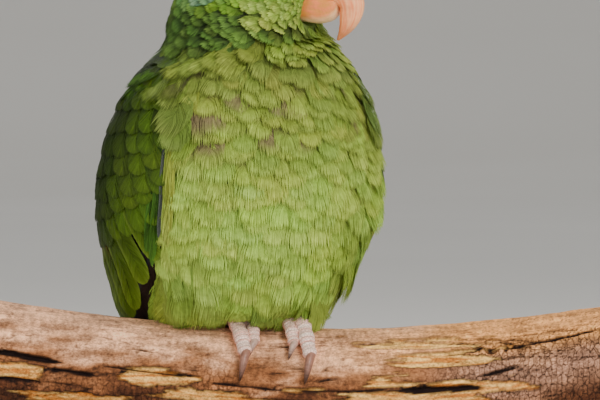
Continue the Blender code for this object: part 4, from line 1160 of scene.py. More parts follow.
def buildWing(side, skin):
    rand = np.random.default_rng(60 + side)
    name = "l" if side > 0 else "r"
    c = {key: ink(value) if isinstance(value, str) else [ink(v) for v in value]
         for key, value in wingInk.items()}

    def batch(kind, paths, half, inks, tilt, edge, edging, vary=0.07, cup=0.1, downy=0.4, streak=0.8):
        n = len(paths[0])
        main, tip = (np.broadcast_to(colour, (n, 3)) for colour in inks)
        colours = colourSet(main, tip, rand, edge, downy, edging, streak, vary, c["shaft"])
        colours["down"] = colours["main"] * 0.45
        roots = skin.rootUv(paths[0][:, 0])
        return Plume(kind, *paths, np.broadcast_to(half, n), colours, roots, tilt, cup, "green_wing", "quill")

    # primaries: the lowest layer, dark, their tips behind the branch
    k = np.linspace(0, 1, wing["primaries"])
    share = 0.03 + 0.60 * k
    rearRise, foreRise = np.maximum(0, (share - 0.36) / 0.64), np.maximum(0, (0.3 - share) / 0.3)
    tip = -47 + 44 * rearRise ** 1.3 + 32 * foreRise ** 1.6
    behind = wingPaths(side, share, share + 0.02, 60, tip, 4.6, 4.6 - 1.2 * k, 12)
    front = wingPaths(side, (0.055, 0.03), (0.075, 0.035), 66, (-12, -3), 3.0, (2.9, 2.6), 12)
    primaries = [batch("flight", paths, half, c["primary"], side * -0.10, c["primaryEdge"], 0.3, downy=0)
                 for paths, half in ((behind, 8.2), (front, 4.6))]
    coatPiece(f"wing_{name}_primary_feathers", primaries, 71, [f"wing_{name}_primaries"])

    # secondaries: long green feathers that slant to the wing's front edge, each over the one in front
    share, tip, slant = np.array(wing["secondaryTips"]).T
    tip = tip + rand.normal(0, 0.5, len(tip))
    root = np.minimum(tip + 66, 76)
    rootShare = np.minimum(share + slant * (root - tip) / 53, 0.99)
    paths = wingPaths(side, rootShare, share, root, tip, 3.6, 2.2 - 1.6 * (1 - share), 12)
    second = batch("flight", paths, 5.2, c["secondary"], side * -0.15, c["secondaryEdge"], 0.5, downy=0)
    spot = ease(np.abs(share - 0.16), 0.10, 0.03)[:, None]         # the red patch, under the feathers' ends
    second.colours["down"] = second.colours["main"] * (1 - spot) + c["speculum"] * spot
    second.colours["downy"] = spot * 0.9
    coatPiece(f"wing_{name}_secondary_feathers", [second], 72, [f"wing_{name}_secondaries"])

    # coverts, in rows that lie over each other like slates
    plumes = []

    def row(kind, pair, count, half, tipZ, long, slant, depth, vary, edging, shift):
        k = (np.arange(count) + shift) / count
        share = 0.015 + 0.965 * k ** 1.08
        z = np.interp(share, *zip(*tipZ)) + rand.normal(0, 0.5, count)
        # painted shade: the coverts darken from a seventh to a third of the way back, and less again towards
        # the back edge
        paintedShade = (1 - 0.62 * ease(share, 0.14, 0.34) * (1 - 0.6 * ease(share, 0.5, 0.8)))[:, None]
        rootShare = np.minimum(share + slant * ease(1 - share, 0, 0.3), 0.99)
        tipShare = share + rand.normal(0, 0.004, count)
        paths = wingPaths(side, rootShare, tipShare, np.minimum(z + long, 123.5), z, *depth)
        tilt = side * -0.11 + rand.normal(0, 0.03, count)
        inks = [colour * paintedShade for colour in c[pair]]
        plumes.append(batch(kind, paths, half, inks, tilt, c["coverEdge"], edging, vary))

    for values in wing["greatRows"]:
        row("longCovert", "great", *values)
    for n in range(wing["smallRows"]):
        t = n / (wing["smallRows"] - 1)
        low = np.array(wing["smallLow"]) * (1 - t) + np.array(wing["smallHigh"]) * t
        tips = tuple(zip(wing["smallAt"], low))
        row("covert", "covert", int(13 - 1.5 * t), 7.0 - 2.0 * t, tips, 22 - 4 * t, 0.03,
            (2.6, -0.1 - 0.2 * t), 0.1, 0.65, 0.25 + 0.5 * (n % 2))
    for place, high, low, half, pair, sunk in wing["edge"]:
        paths = wingPaths(side, place + 0.006, place - 0.014, high, low, 1.2 + sunk, 0.3 + sunk, 10)
        edge = c[pair][1] * (0.55 if pair == "edgeYellow" else 1.1)
        plumes.append(batch("longCovert", paths, half, c[pair], side * -0.2, edge, 0.7, 0.03, 0.1, 0, 2.2))
    for share0, share1, z0, z1, half in wing["shoulder"]:
        paths = wingPaths(side, share0, share1, z0, z1, -0.6, -2.2, 6)
        mark = markings(paths[0][:, 0]) * (0.72, 0.77, 0.95)
        inks = (mark[:, 0] * 0.9 + 0.1 * mark[:, 1], mark[:, 1])
        plumes.append(batch("body", paths, half, inks, 0.0, mark[:, 1], 0.0, 0.04, 0.04, 0.0, 1.2))
    coatPiece(f"wing_{name}_coverts", plumes, 73, [f"wing_{name}_coverts"])
    print("wing", name, coatCount)


# spread and thickness are at the root and at the tip; fall: how much shorter the outer feathers are
tailForm = {"root": (0, 57, 6), "length": 112, "fall": 9, "spread": (14.5, 22.5), "thick": (7.0, 2.4),
            "arch": 4.5, "pairs": 6, "half": 8.0,
            "green": "3f7f28", "tip": "a3b544", "edge": "557f30", "shaft": "30401c"}


def buildTail(skin):
    rand = np.random.default_rng(80)
    along = np.array([0, math.sin(lean), -math.cos(lean)])
    upper = np.array([0, math.cos(lean), math.sin(lean)])
    paths, ups = [], []
    s = np.linspace(0, 1, 11)
    spread, thick = (tailForm[key][0] + (tailForm[key][1] - tailForm[key][0]) * s ** power
                     for key, power in (("spread", 0.7), ("thick", 1)))
    for pair in range(tailForm["pairs"]):
        share = (pair + 0.35) / tailForm["pairs"]
        for side in (-1, 1):
            reach = tailForm["length"] - tailForm["fall"] * share ** 2 - 4 + rand.normal(0, 0.6)
            wide = side * share * spread * 0.82
            lift = thick * (0.42 - 0.16 * pair) * (1 - 0.3 * share) - tailForm["arch"] * share ** 2
            p = np.array(tailForm["root"]) + along * (reach * s)[:, None] + upper * lift[:, None]
            up = unit(upper + np.array([side * share * 0.35, 0, 0]))
            paths.append(birdPoint(p + np.array([1.0, 0, 0]) * wide[:, None]))
            ups.append(np.repeat(birdWay(up)[None], len(s), 0))
    paths, ups = np.array(paths), np.array(ups)
    n = len(paths)
    green, tip, edge, shaft = (ink(tailForm[key]) for key in ("green", "tip", "edge", "shaft"))
    main, tip = np.tile(green, (n, 1)), np.tile(tip, (n, 1))
    colours = colourSet(main, tip, rand, edge, 0.0, 0.4, vary=0.06, shaft=shaft)
    half, roots = np.full(n, tailForm["half"]), skin.rootUv(paths[:, 0])
    plume = Plume("flight", paths, ups, half, colours, roots, 0.0, 0.12, "green_tail", "quill")
    coatPiece("tail_feathers", [plume], 81, ["tail"])


# each row is one cut through the bill: how far out and how high its outer side is, the same for its inner
# side, and its half width; squares say how boxy the cuts are
bill = {
    "face": -30.0,
    "upper": ((-4, 163.6, -4, 150, 8.4), (4, 164.2, 1, 149.6, 8.7), (12.5, 162.4, 5, 149.4, 8.0),
              (19.5, 158, 8.8, 148.8, 6.9), (24, 152, 12, 147.2, 5.8), (25.6, 145.6, 14.0, 143.4, 4.7),
              (24.2, 139.2, 14.3, 137.8, 3.4), (19.8, 133.4, 13.6, 133, 2.0),
              (13.6, 129.2, 12.6, 129.6, 0.5)),
    "lower": ((-5, 138.2, -5, 149.4, 7.2), (1.5, 137.2, 1.5, 149.2, 7.2), (7.0, 137.2, 5.4, 148.9, 6.7),
              (11.0, 138.6, 8.8, 148.3, 6.0), (13.6, 141.6, 11.8, 147.8, 5.2),
              (14.4, 144.6, 13.2, 147.4, 4.6)),
    "cere": ((-3.5, 165.2, -3.5, 154, 9.2), (0.4, 165.6, -0.2, 154.6, 9.4), (3.4, 164.9, 2.2, 155.6, 9.1)),
    "rings": {"upper": 110, "lower": 60, "cere": 26}, "squares": {"upper": 2.2, "lower": 3.0, "cere": 2.3},
    "pink": "f48a52", "pale": "ffb885", "peach": "e29440", "tip": "b5754c",
    "rim": "f8dcae", "cereTint": "c9b3a2",
    "nostril": {"turn": 0.62, "ring": 15, "radius": 1.75, "deep": 1.9},
}


def beakRings(part, sides):
    count, square = bill["rings"][part], bill["squares"][part]
    r = curveRows(bill[part], count)
    a = np.linspace(0, 2 * np.pi, sides, endpoint=False)
    c, s = np.cos(a), np.sin(a)
    along = np.sign(c) * np.abs(c) ** (2 / square) - 0.25 * s * s
    across = np.sign(s) * np.abs(s) ** (2 / square)
    outer = np.stack([np.zeros(count), bill["face"] - r[:, 0], r[:, 1]], -1)
    inner = np.stack([np.zeros(count), bill["face"] - r[:, 2], r[:, 3]], -1)
    p = ((outer + inner) / 2)[:, None] + ((outer - inner) / 2)[:, None] * along[None, :, None]
    p[..., 0] += np.maximum(r[:, 4], 0.4)[:, None] * across
    return p, a


def swollen(rings, far):
    # rings pushed out from their middles, or in
    return rings + unit(rings - rings.mean(1, keepdims=True)) * far[..., None]


def buildBill():
    pink, pale, peach, tip, rim = (ink(bill[key]) for key in ("pink", "pale", "peach", "tip", "rim"))
    for part in ("upper", "lower"):
        rings, a = beakRings(part, 96)
        flow = np.linspace(0, 1, len(rings))[:, None]
        wander = fieldNoise(rings, 0.16, 3)
        around = [np.cos(a)[None] * 3 + 0 * flow, np.sin(a)[None] * 3 + 0 * flow, flow * 1.6 + 0 * a[None]]
        streak = fieldNoise(np.stack(around, -1), 2.6, 3)
        growth = (np.sin(flow * 74 + wander * 6 + streak * 2) * 0.04 + streak * 0.09) * ease(flow, 0.03, 0.2)
        if part == "upper":                        # the cutting edge's notch and tooth
            edge = ease(-np.cos(a), 0.2, 0.9)[None] * ease(np.abs(np.sin(a)), 0.1, 0.5)[None]
            growth = growth + edge * (0.75 * bellAt(flow, 0.53, 0.035) - 0.7 * bellAt(flow, 0.62, 0.035))
        rings = swollen(rings, growth + wander * 0.12)
        if part == "upper":
            # paler horn in streaks, and paler towards its outer side, a painted highlight
            c = toward(pink, pale, np.clip(0.45 + 0.5 * wander + 1.1 * streak + 0.3 * np.cos(a)[None], 0, 1))
            c = toward(c, tip, ease(flow, 0.72, 1.0) * 0.7)
        else:                                      # its outer side paler, a painted highlight; its inner side darker, painted shade; its far end the tip's darker horn
            c = toward(peach, pink, np.clip(0.35 + 0.6 * wander + 1.1 * streak, 0, 1))
            c = toward(c, rim, ease(np.cos(a)[None] + 0.15 * wander, 0.45, 0.95) * 0.75)
            under = 0.5 * ease(-np.cos(a)[None], 0.1, 0.9)
            c = toward(c, tip, np.clip(under + 0.4 * ease(flow, 0.8, 1.0), 0, 1))
        c = c * (1 - 0.25 * ease(flow, 0.12, 0.0))[..., None]
        piece = loftPiece(f"bill_{part}", headPoint(rings), finishes["horn"], c)
        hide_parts(f"beak_{part}")
    rings, a = beakRings("cere", 120)
    crown = 0.35 * np.sin(np.linspace(0, np.pi, len(rings))) ** 0.7
    rings = swollen(rings, crown[:, None])
    c = np.ones(rings.shape) * ink(bill["cereTint"])
    nostril = bill["nostril"]
    for side in (-1, 1):
        turn = (a - side * nostril["turn"] + np.pi) % (2 * np.pi) - np.pi
        hole = rings[nostril["ring"], np.argmin(np.abs(turn))].copy()
        far = np.linalg.norm(rings - hole, axis=-1)
        inward = unit(np.array((0, -27, 158)) - hole)
        push = nostril["deep"] * ease(far, nostril["radius"], 0.5)
        rings = rings + inward * push[..., None] - inward * (0.3 * bellAt(far, 2.0, 0.5))[..., None]
        # the nostrils' holes painted dark: painted shade
        c = c * (1 - 0.86 * ease(far, 1.6, 0.6))[..., None]
    piece = loftPiece("cere_skin", headPoint(rings), finishes["bare"], c)
    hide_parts("cere")


def buildEye(side, skin):
    rand = np.random.default_rng(90 + side)
    name = "l" if side > 0 else "r"
    centre, out = eyeIn(side)
    ball, pupil, iris = eyeForm["radius"], eyeForm["pupil"], eyeForm["iris"]
    sides = 120
    ahead = unit(np.array((0, -1.0, 0)) - out * -out[1])
    high = unit(np.cross(ahead, out)) * (1 if np.cross(ahead, out)[2] > 0 else -1)
    theta = np.linspace(0, 2 * np.pi, sides, endpoint=False)
    wheel = ahead[None] * np.cos(theta)[:, None] + high[None] * np.sin(theta)[:, None]
    # the ball, finest towards the front, where it bulges a little
    polar = np.concatenate([np.linspace(0.01, 1.0, 54), np.linspace(1.06, 3.13, 24)])
    r, h = ball * np.sin(polar), ball * np.cos(polar)
    h = h + 0.25 * bellAt(r, 0, 2.6) * (polar < 1)
    rings = centre - out * 1.0 + out * h[:, None, None] + wheel[None] * r[:, None, None]
    fibre = rand.normal(0, 1, sides)
    fibre = (fibre + np.roll(fibre, 1)) * 0.6
    share = ease(r, pupil, iris)[:, None, None]
    c = ink(eyeForm["rim"]) * (1 - share) + ink(eyeForm["amber"]) * share
    c = c * (1 + 0.13 * fibre[None, :, None])
    c = c * (1 - 0.97 * ease(r, pupil + 0.18, pupil - 0.02))[:, None, None]
    outer = (ease(r, iris - 0.25, iris + 0.1) + (polar > 1))[:, None].clip(0, 1)
    c = np.clip(toward(c, ink(eyeForm["limbus"]), outer), 0, 1)
    piece = loftPiece(f"eyeball_{name}", headPoint(rings), finishes["eye"], c, flip=side < 0)
    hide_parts(f"eye_{name}")
    # the lids: a ring of bare skin from the ball's margin out to the head's own surface
    wideRadius, narrowRadius, count, seek = eyeForm["lids"]
    rim = []
    for t in theta:
        start = centre + (ahead * math.cos(t) + high * math.sin(t)) * wideRadius + out * seek
        hit = skin.tree.ray_cast(Vector(headPoint(start)), -Vector(gaze[side]))
        rim.append(seek - hit[3] / mm if hit[0] is not None else 0.0)
    rim = np.array(rim)
    for _ in range(30):
        rim = 0.5 * rim + 0.25 * (np.roll(rim, 1) + np.roll(rim, -1))
    radii = np.concatenate([np.linspace(wideRadius, narrowRadius, count), (4.3, 4.9, 6.0)])
    folds = 0.22 * bellAt(radii, 6.3, 0.3) - 0.25 * bellAt(radii, 5.75, 0.22)
    folds = folds + 0.45 * bellAt(radii, 4.75, 0.62)
    squint = 1 - 0.09 * np.abs(np.sin(theta)) ** 1.5
    lids = []
    for row, radius in enumerate(radii):
        inner = ease(radius, 7.2, 4.3)
        ballHigh = -1.0 + math.sqrt(ball ** 2 - min(radius, 5.1) ** 2) + 0.12
        rise = (rim - 0.15) * (1 - inner) + ballHigh * inner + folds[row] * (1 if row < count else 0)
        wide = radius * (1 - inner * (1 - squint)) * (1 + 0.05 * (1 - inner) * np.cos(theta))
        over = np.sqrt(np.maximum(ball ** 2 - wide ** 2, 0.0)) - 1.0 + 0.18
        rise = np.maximum(rise, np.where(wide < ball, over, -9))
        rise = rise if row < count else ballHigh - 0.5 - 0.5 * (row - count)
        beads = 0.07 * np.sin(theta * (38 - row % 3) + row) * np.sin(row * 0.9) * (4.5 < radius < 6.8)
        lids.append(centre + out * (rise + beads)[:, None] + wheel * wide[:, None])
    rows = len(radii)
    c = np.ones((rows, sides, 3)) * ink(eyeForm["bare"]) * (1 + 0.08 * rand.normal(0, 1, (rows, sides, 1)))
    margin = ease(radii, 4.75, 4.2)[:, None] * (0.8 + 0.2 * (np.arange(rows) > 38))[:, None]
    c = np.clip(toward(c, ink(eyeForm["margin"]), margin), 0, 1).reshape(-1, 3)
    first, second = gridFaces(2, sides)[:, 0], gridFaces(2, sides)[:, 1]
    last = (rows - 1) * sides                      # the last ring, behind the lid, is joined to the first
    wrap = np.stack([first + last, second + last, second, first], -1)
    faces = np.concatenate([gridFaces(rows, sides), wrap])
    faces = faces if side > 0 else faces[:, ::-1]
    points = headPoint(lids).reshape(-1, 3)
    piece = meshPiece(f"eyelids_{name}", points, faces, finishes["bare"], c)
    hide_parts(f"eye_ring_{name}")


branch = {
    "length": 304.0, "radius": 26.0, "lowAt": 25.0, "sag": 0.0006,
    "rows": 520, "columns": 210, "endRings": 26,
    "barkTopLit": "deac88", "barkWarm": "e6a566", "barkSideShaded": "93603c", "barkGrey": "a5806c",
    "barkDarkAndShade": "4c2a1a",
    "crack": "1a0d08", "peeled": "c27a33", "peeledPale": "f4c675", "cut": "c9a676", "cutDark": "8f6a42",
    # peeled places: along, angle from the top over the front, half length, half angle
    "peels": ((-45, 86, 19, 8), (78, 42, 26, 9), (80, 60, 24, 9), (78, 97, 22, 9), (-112, 97, 12, 9),
              (-92, 118, 24, 10), (-8, 99, 24, 8), (38, 101, 22, 8), (20, 150, 30, 12), (-20, 205, 34, 12),
              (88, 262, 32, 11), (-80, 300, 26, 8)),
    # long cracks: from, to, angle at each end, half width, depth
    "cracks": ((-152, -88, 74, 83, 1.8, 3.0), (-100, -72, 90, 92, 1.3, 2.4), (-74, -30, 80, 79, 0.5, 1.4),
               (-63, -42, 58, 62, 0.4, 1.1), (92, 115, 81, 74, 1.0, 2.2), (102, 152, 57, 50, 0.9, 1.9),
               (58, 98, 85, 88, 1.9, 3.2), (-30, 12, 86, 83, 0.7, 1.6), (10, 56, 83, 84, 0.7, 1.6),
               (-7, 10, 54, 54, 0.35, 1.0), (-40, -18, 73, 75, 0.4, 1.2), (20, 37, 77, 73, 0.4, 1.2),
               (-140, -96, 112, 104, 1.2, 2.2), (-60, 60, 128, 122, 0.9, 1.8), (40, 130, 150, 160, 1.0, 2.0),
               (-130, -30, 178, 170, 0.9, 1.8), (-20, 90, 215, 208, 0.9, 1.8),
               (-120, -10, 250, 262, 0.8, 1.6), (20, 140, 290, 284, 0.8, 1.6),
               (-100, 10, 322, 330, 0.6, 1.3)),
    "knot": (101, 57, 4.6),                        # along, angle, radius
    "smooth": (1, 34),                             # the place under the feet, and half its length
}


def branchTop(x):
    return branch["sag"] * (x - branch["lowAt"]) ** 2 - branch["sag"] * branch["lowAt"] ** 2


def barkRadius(x, a):
    swell = 1.3 * np.sin(x / 47 + 0.8) + 0.008 * np.maximum(0.0, -x - 30)
    return branch["radius"] + swell + 0.45 * np.sin(3 * a + x / 38) + 0.3 * np.sin(5 * a - x / 29 + 1.0)


def branchPoint(x, a, off=0.0):
    # the angle runs from the branch's top over its front; off is above the bark
    x, a = np.asarray(x, float), np.asarray(a, float)
    reach = barkRadius(x, a) + off
    middle = branchTop(x) - barkRadius(x, 0.0 * a)
    return np.stack([x + 0 * a, -reach * np.sin(a), middle + reach * np.cos(a)], -1)


def buildBranch():
    rows, columns = branch["rows"], branch["columns"]
    x = np.linspace(-0.5, 0.5, rows)[:, None] * branch["length"] * np.ones((1, columns))
    a = np.linspace(0, 2 * np.pi, columns, endpoint=False)[None] * np.ones((rows, 1))
    a = a - 0.5 * (np.sin(a - 1.25) + math.sin(1.25))      # the front is the finest
    p = branchPoint(x, a)
    broad = fieldNoise(p, 0.022, 3)
    seam = fieldNoise(p * (0.035, 1, 1) + (7, 3, 1), 0.11, 3)
    split = fieldNoise(p * (0.10, 1, 1) + (3, 9, 4), 0.22, 4)
    lump = fieldNoise(p * (0.35, 1, 1) + (1, 5, 8), 0.13, 4)
    cross = fieldNoise(p * (1.6, 0.7, 0.7) + (4, 4, 4), 0.32, 3)
    fibre = fieldNoise(p * (0.05, 1, 1) + (2, 2, 6), 0.9, 3)
    degrees = np.degrees(a)

    def turnFrom(angle):
        return (degrees - angle + 180) % 360 - 180

    seams = ease(np.abs(seam - 0.16), 0.05, 0.0) * ease(broad, -0.3, 0.2)
    splits = ease(np.abs(split - 0.13), 0.07, 0.0) * ease(lump + broad, -0.2, 0.3)
    crossing = np.maximum(ease(x, 70, 120), ease(np.cos(a), 0.3, -0.1) * 0.6)
    crossing = ease(np.abs(cross - 0.12), 0.07, 0.0) * crossing
    gash = np.zeros_like(x)
    for x0, x1, a0, a1, wide, deep in branch["cracks"]:
        share = np.clip((x - x0) / (x1 - x0), 0, 1)
        ends = ease(x, x0 - 2, x0 + 9) * ease(x, x1 + 2, x1 - 9)
        off = turnFrom(a0 + (a1 - a0) * share) * 0.0174 * branch["radius"] + 2.2 * seam + 1.6 * split
        gash = np.maximum(gash, ease(np.abs(off), wide * (0.35 + ends), 0.0) * ends * deep)
    peeled = np.zeros_like(x)
    for along, angle, halfLength, halfAngle in branch["peels"]:
        far = np.sqrt(((x - along) / halfLength) ** 2 + (turnFrom(angle) / halfAngle) ** 2)
        peeled = np.maximum(peeled, ease(far + 1.5 * split + 0.9 * seam + 0.5 * lump, 1.08, 0.86))
    # the edges of the peeled places: raised a little, and painted dark below as their shadow
    rim = np.clip(np.abs(np.gradient(peeled, axis=0)) * 3 + np.abs(np.gradient(peeled, axis=1)) * 3, 0, 1)
    knotAt, knotAngle, knotRadius = branch["knot"]
    knotFar = np.hypot(x - knotAt, np.radians(turnFrom(knotAngle)) * branch["radius"]) + 1.2 * lump
    knot = bellAt(knotFar, knotRadius, 1.5) * 1.2 - 2.2 * ease(knotFar, knotRadius * 0.8, 0)
    whole = 1 - peeled
    off = 0.45 * lump + 0.35 * broad - gash - 0.9 * seams - 0.6 * splits * (1 - 0.7 * peeled)
    off = off - 0.4 * crossing * whole - 1.0 * peeled + 0.3 * rim + 0.35 * fibre * peeled + knot
    middle, reach = branch["smooth"]                # rough bark would stand into the toes
    off = np.where((np.abs(x - middle) < reach) & (off > 0.15), 0.15 + (off - 0.15) * 0.2, off)
    p = branchPoint(x, a, off)
    upward = np.cos(a)
    tones = {key: ink(value) for key, value in branch.items() if isinstance(value, str)}
    # painted light: the bark lighter on top and darker round its sides, with painted shade making it darker
    # still underneath; warmer to the right
    c = toward(tones["barkTopLit"], tones["barkWarm"], ease(x + 30 * broad, 20, 90))
    c = toward(tones["barkSideShaded"], c, ease(upward + 0.4 * lump + 0.2 * broad, 0.12, 0.75))
    c = toward(c, tones["barkDarkAndShade"], ease(upward + 0.35 * lump + 0.3 * ease(x, 20, 90), 0.34, -0.3) * 0.9)
    grey = ease(x, 62, 100) * ease(upward, 0.62, 0.35) * ease(upward + 0.2 * lump, -0.5, 0.05)
    c = toward(c, tones["barkGrey"], grey * 0.75)
    c = c * np.clip(1 + 0.26 * lump + 0.3 * split + 0.4 * cross, 0.3, 2)[..., None]
    # the bare wood, streaked by its fibres, paler towards the top: painted light
    wood = toward(tones["peeled"], tones["peeledPale"], np.clip(0.5 + 1.4 * fibre + 0.5 * upward, 0, 1))
    c = toward(c, wood, peeled * 0.94)
    # the cracks, seams, splits and the knot's sunk middle: their own dark inner bark, deepened with painted
    # shade; the peeled places' edges: painted shadow
    dark = gash * 0.85 + seams * 0.8 + splits * 0.7 * (1 - 0.6 * peeled) + crossing * 0.8 * whole
    dark = np.clip(dark + rim * 0.55 + ease(knotFar, knotRadius * 0.75, 0) * 0.9, 0, 1)
    c = toward(c, tones["crack"], dark)
    crackle = ease(x + 30 * broad, 60, 110) * ease(upward, 0.85, 0.5)
    crackle = np.clip(crackle + 0.7 * ease(upward + 0.5 * broad, 0.35, -0.2), 0, 1) * whole
    c = np.concatenate([np.clip(c, 0.004, 1), crackle[..., None]], -1)
    parts = [(p.reshape(-1, 3), gridFaces(rows, columns), c.reshape(-1, 4))]
    for end, row in ((0, 0), (1, rows - 1)):       # the sawn ends, with their year rings
        rings = branch["endRings"]
        middle = p[row].mean(0)
        share = np.linspace(1, 0.012, rings)[:, None, None]
        cap = middle + (p[row] - middle) * share
        ring = 0.5 + 0.5 * np.sin(share[..., 0] * 70 + fieldNoise(cap, 0.06, 2) * 5)
        ray = np.abs(fieldNoise(unit((p[row] - middle) + 1e-6) * 6 + end * 9, 0.9, 3))
        ray = ease(ray, 0.05, 0)[None] * ease(share[..., 0], 0.1, 0.5)
        cap = cap + np.array([(-1 if end == 0 else 1) * -0.5, 0, 0]) * (ray * 0.8)[..., None]
        tone = toward(tones["cut"], tones["cutDark"], ring * 0.6 + 0.3 * (1 - share[..., 0]))
        tone = tone * (1 - 0.7 * ray)[..., None]
        tone = np.clip(toward(tone, tones["barkDarkAndShade"], ease(share[..., 0], 0.93, 0.97)), 0, 1)
        tone = np.concatenate([tone, np.zeros((rings, columns, 1))], -1)
        quads = gridFaces(rings, columns)
        parts.append((cap.reshape(-1, 3), quads[:, ::-1] if end == 0 else quads, tone.reshape(-1, 4)))
    points, faces, tints = joined(parts)
    faces = faces[:, ::-1]
    piece = meshPiece("perch_branch", perchPoint(points), faces, finishes["bark"], tints)
    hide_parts("branch")


foot = {
    "places": {"r": -9.8, "l": 13.0}, "toe": 3.85, "claw": 2.35, "gap": 0.3, "sides": 40, "scute": 2.1,
    # each toe: where it starts and ends along the branch, the angles round it where the toe starts, the claw
    # starts and the claw ends, and its size
    "toes": {"outer_front": ({"r": (-14.4, -8.4), "l": (15.4, 20.4)}, 4, 57, 81, 1.0),
             "inner_front": ({"r": (-6.6, -4.6), "l": (10.0, 13.2)}, 4, 44, 57, 0.84),
             "outer_hind": ({"r": (-12.6, -21.0), "l": (15.6, 22.0)}, -4, -54, -84, 0.96),
             "inner_hind": ({"r": (-6.8, -9.5), "l": (10.2, 7.5)}, -4, -32, -56, 0.82)},
    # the leg from the heel up: outward, back, up; and its radius from end to end
    "leg": ((0, -3.0, 0.2), (1.5, 1.5, 1.2), (4, 6.5, 6), (8, 13, 12), (9.5, 12, 19)),
    "legRadius": (2.4, 4.0, 3.5, 3.9, 3.0),
    "skin": "ffe8da", "skinPink": "f8ad98", "crease": "8a5240", "horn": "94695a", "hornTip": "3c2720",
}


def scaledTube(centres, radii, ups, pitch, rand, scute):
    # a toe or a leg: broad scutes over its upper side, small round scales under it
    length = np.concatenate([[0], np.cumsum(np.linalg.norm(np.diff(centres, axis=0), axis=1))])
    rings, a = tubeRings(centres, radii, foot["sides"], ups)
    above = ease(np.cos(a), -0.1, 0.6)[None]
    saw = (length[:, None] / pitch + 0.18 * np.cos(a)[None] ** 2) % 1.0
    step = ease(saw, 0.0, 0.22) - 0.55 * ease(saw, 0.22, 1.0)
    grain = np.sin(length[:, None] * 2 * np.pi / (pitch * 0.62)) * np.sin(a * 9)[None]
    push = scute * above * step + 0.10 * (1 - above) * grain
    rings = rings + unit(rings - np.asarray(centres)[:, None]) * push[..., None]
    pink = 0.35 + 0.5 * (1 - above) + 0.25 * rand.normal(0, 1, (len(centres), 1))
    c = toward(ink(foot["skin"]), ink(foot["skinPink"]), np.clip(pink, 0, 1))
    # the creases between the scutes darker: the skin's own darker pink, deepened with painted shade
    dark = (ease(saw, 0.16, 0.0) + ease(saw, 0.93, 1.0)) * (0.25 + 0.75 * above) * 0.75
    c = toward(c, ink(foot["crease"]), np.clip(dark, 0, 1))
    return *closedTube(rings), ringTints(c)


def overBranch(a):
    # the way out of the branch at each angle
    return np.stack([np.zeros_like(a), -np.sin(a), np.cos(a)], -1)


def buildFoot(name):
    rand = np.random.default_rng(100 + len(name) + ord(name))
    side = 1 if name == "l" else -1
    gap, parts = foot["gap"], []
    for toe, (ends, first, last, clawEnd, size) in foot["toes"].items():
        x0, x1 = ends[name]
        t = np.linspace(0, 1, 90)
        radius = foot["toe"] * size * (1 - 0.2 * t) * (1 + 0.07 * np.cos(t * 6 * np.pi))
        a = np.radians(first + (last - first) * t)
        centres = branchPoint(x0 + (x1 - x0) * t, a, radius + gap * 0.6)
        blunt = np.sqrt(np.clip(1 - (np.clip((t - 0.93) / 0.075, 0, 1)) ** 2, 0.05, 1))
        parts.append(scaledTube(centres, radius * blunt, overBranch(a), foot["scute"] * size, rand, 0.34))
        # the claw: its base stands in the toe's end
        s = np.linspace(-0.16, 1, 44)
        start = math.radians(last) + math.copysign(0.5 * gap / branch["radius"], last)
        a = start + (math.radians(clawEnd) - start) * s
        thick = np.maximum(0.12, foot["claw"] * size * (1 - np.clip(s, 0, 1) ** 2) ** 0.9)
        lift = thick + gap + 2.2 * size * np.sin(np.pi * np.minimum(1.0, 0.28 + s * 0.72))
        path = branchPoint(x1 - (2.6 if first > 0 else 1.6 * side) * s, a, lift)
        turn = np.linspace(0, 2 * np.pi, 28, endpoint=False)
        section = 1 - 0.16 * np.abs(np.sin(turn))[None] - 0.22 * bellAt(turn, np.pi, 0.5)[None]
        rings, _ = tubeRings(path, thick[:, None] * section, len(turn), overBranch(a))
        horn = toward(ink(foot["horn"]), ink(foot["skin"]), 0.28 if size < 0.9 else 0.0)
        dark = ease(s + 0.06 * rand.normal(0, 1, len(s)), 0.2, 1.0)[:, None] * np.ones((1, len(turn)))
        c = toward(horn, ink(foot["hornTip"]), dark)
        piece = loftPiece(f"talon_{name}_{toe}", perchPoint(rings), finishes["claw"], c, flip=False)
        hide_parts(f"claw_{name}_{toe}")
    heel = branchPoint(foot["places"][name], 0.0, foot["toe"] + 0.9)
    path = curveRows(heel + np.array(foot["leg"]) * (side, 1, 1), 80)
    radii = np.interp(np.linspace(0, 1, 80), np.linspace(0, 1, 5), foot["legRadius"])
    parts.append(scaledTube(path, radii, (0, -1, 0.2), foot["scute"], rand, 0.26))
    points, faces, tints = joined(parts)
    points = perchPoint(points)
    piece = meshPiece(f"scaly_foot_{name}", points, faces, finishes["scaly"], tints)
    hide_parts(f"foot_{name}")


# the base board, the rods with how far they go into branch and board, and the collars round them
stand = {"size": (200.0, 150.0, 15.0), "corner": 28.0, "edge": 2.5, "spread": 64.0,
         "rod": 5.0, "inBranch": 9.0, "inBase": 7.0,
         "collar": 9.5, "collarHeight": 5.0, "collarBore": 5.3}


def lathe(name, profile, x, sides, node):
    # a turned steel piece; the profile is (radius, height)
    a = np.linspace(0, 2 * np.pi, sides, endpoint=False)
    rings = np.array([[(x + r * math.cos(t), r * math.sin(t), z) for t in a] for r, z in profile])
    plain = np.full(rings.shape, 0.5)
    piece = loftPiece(name, rings * mm, finishes["metal"], plain, flip=False)
    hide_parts(node)


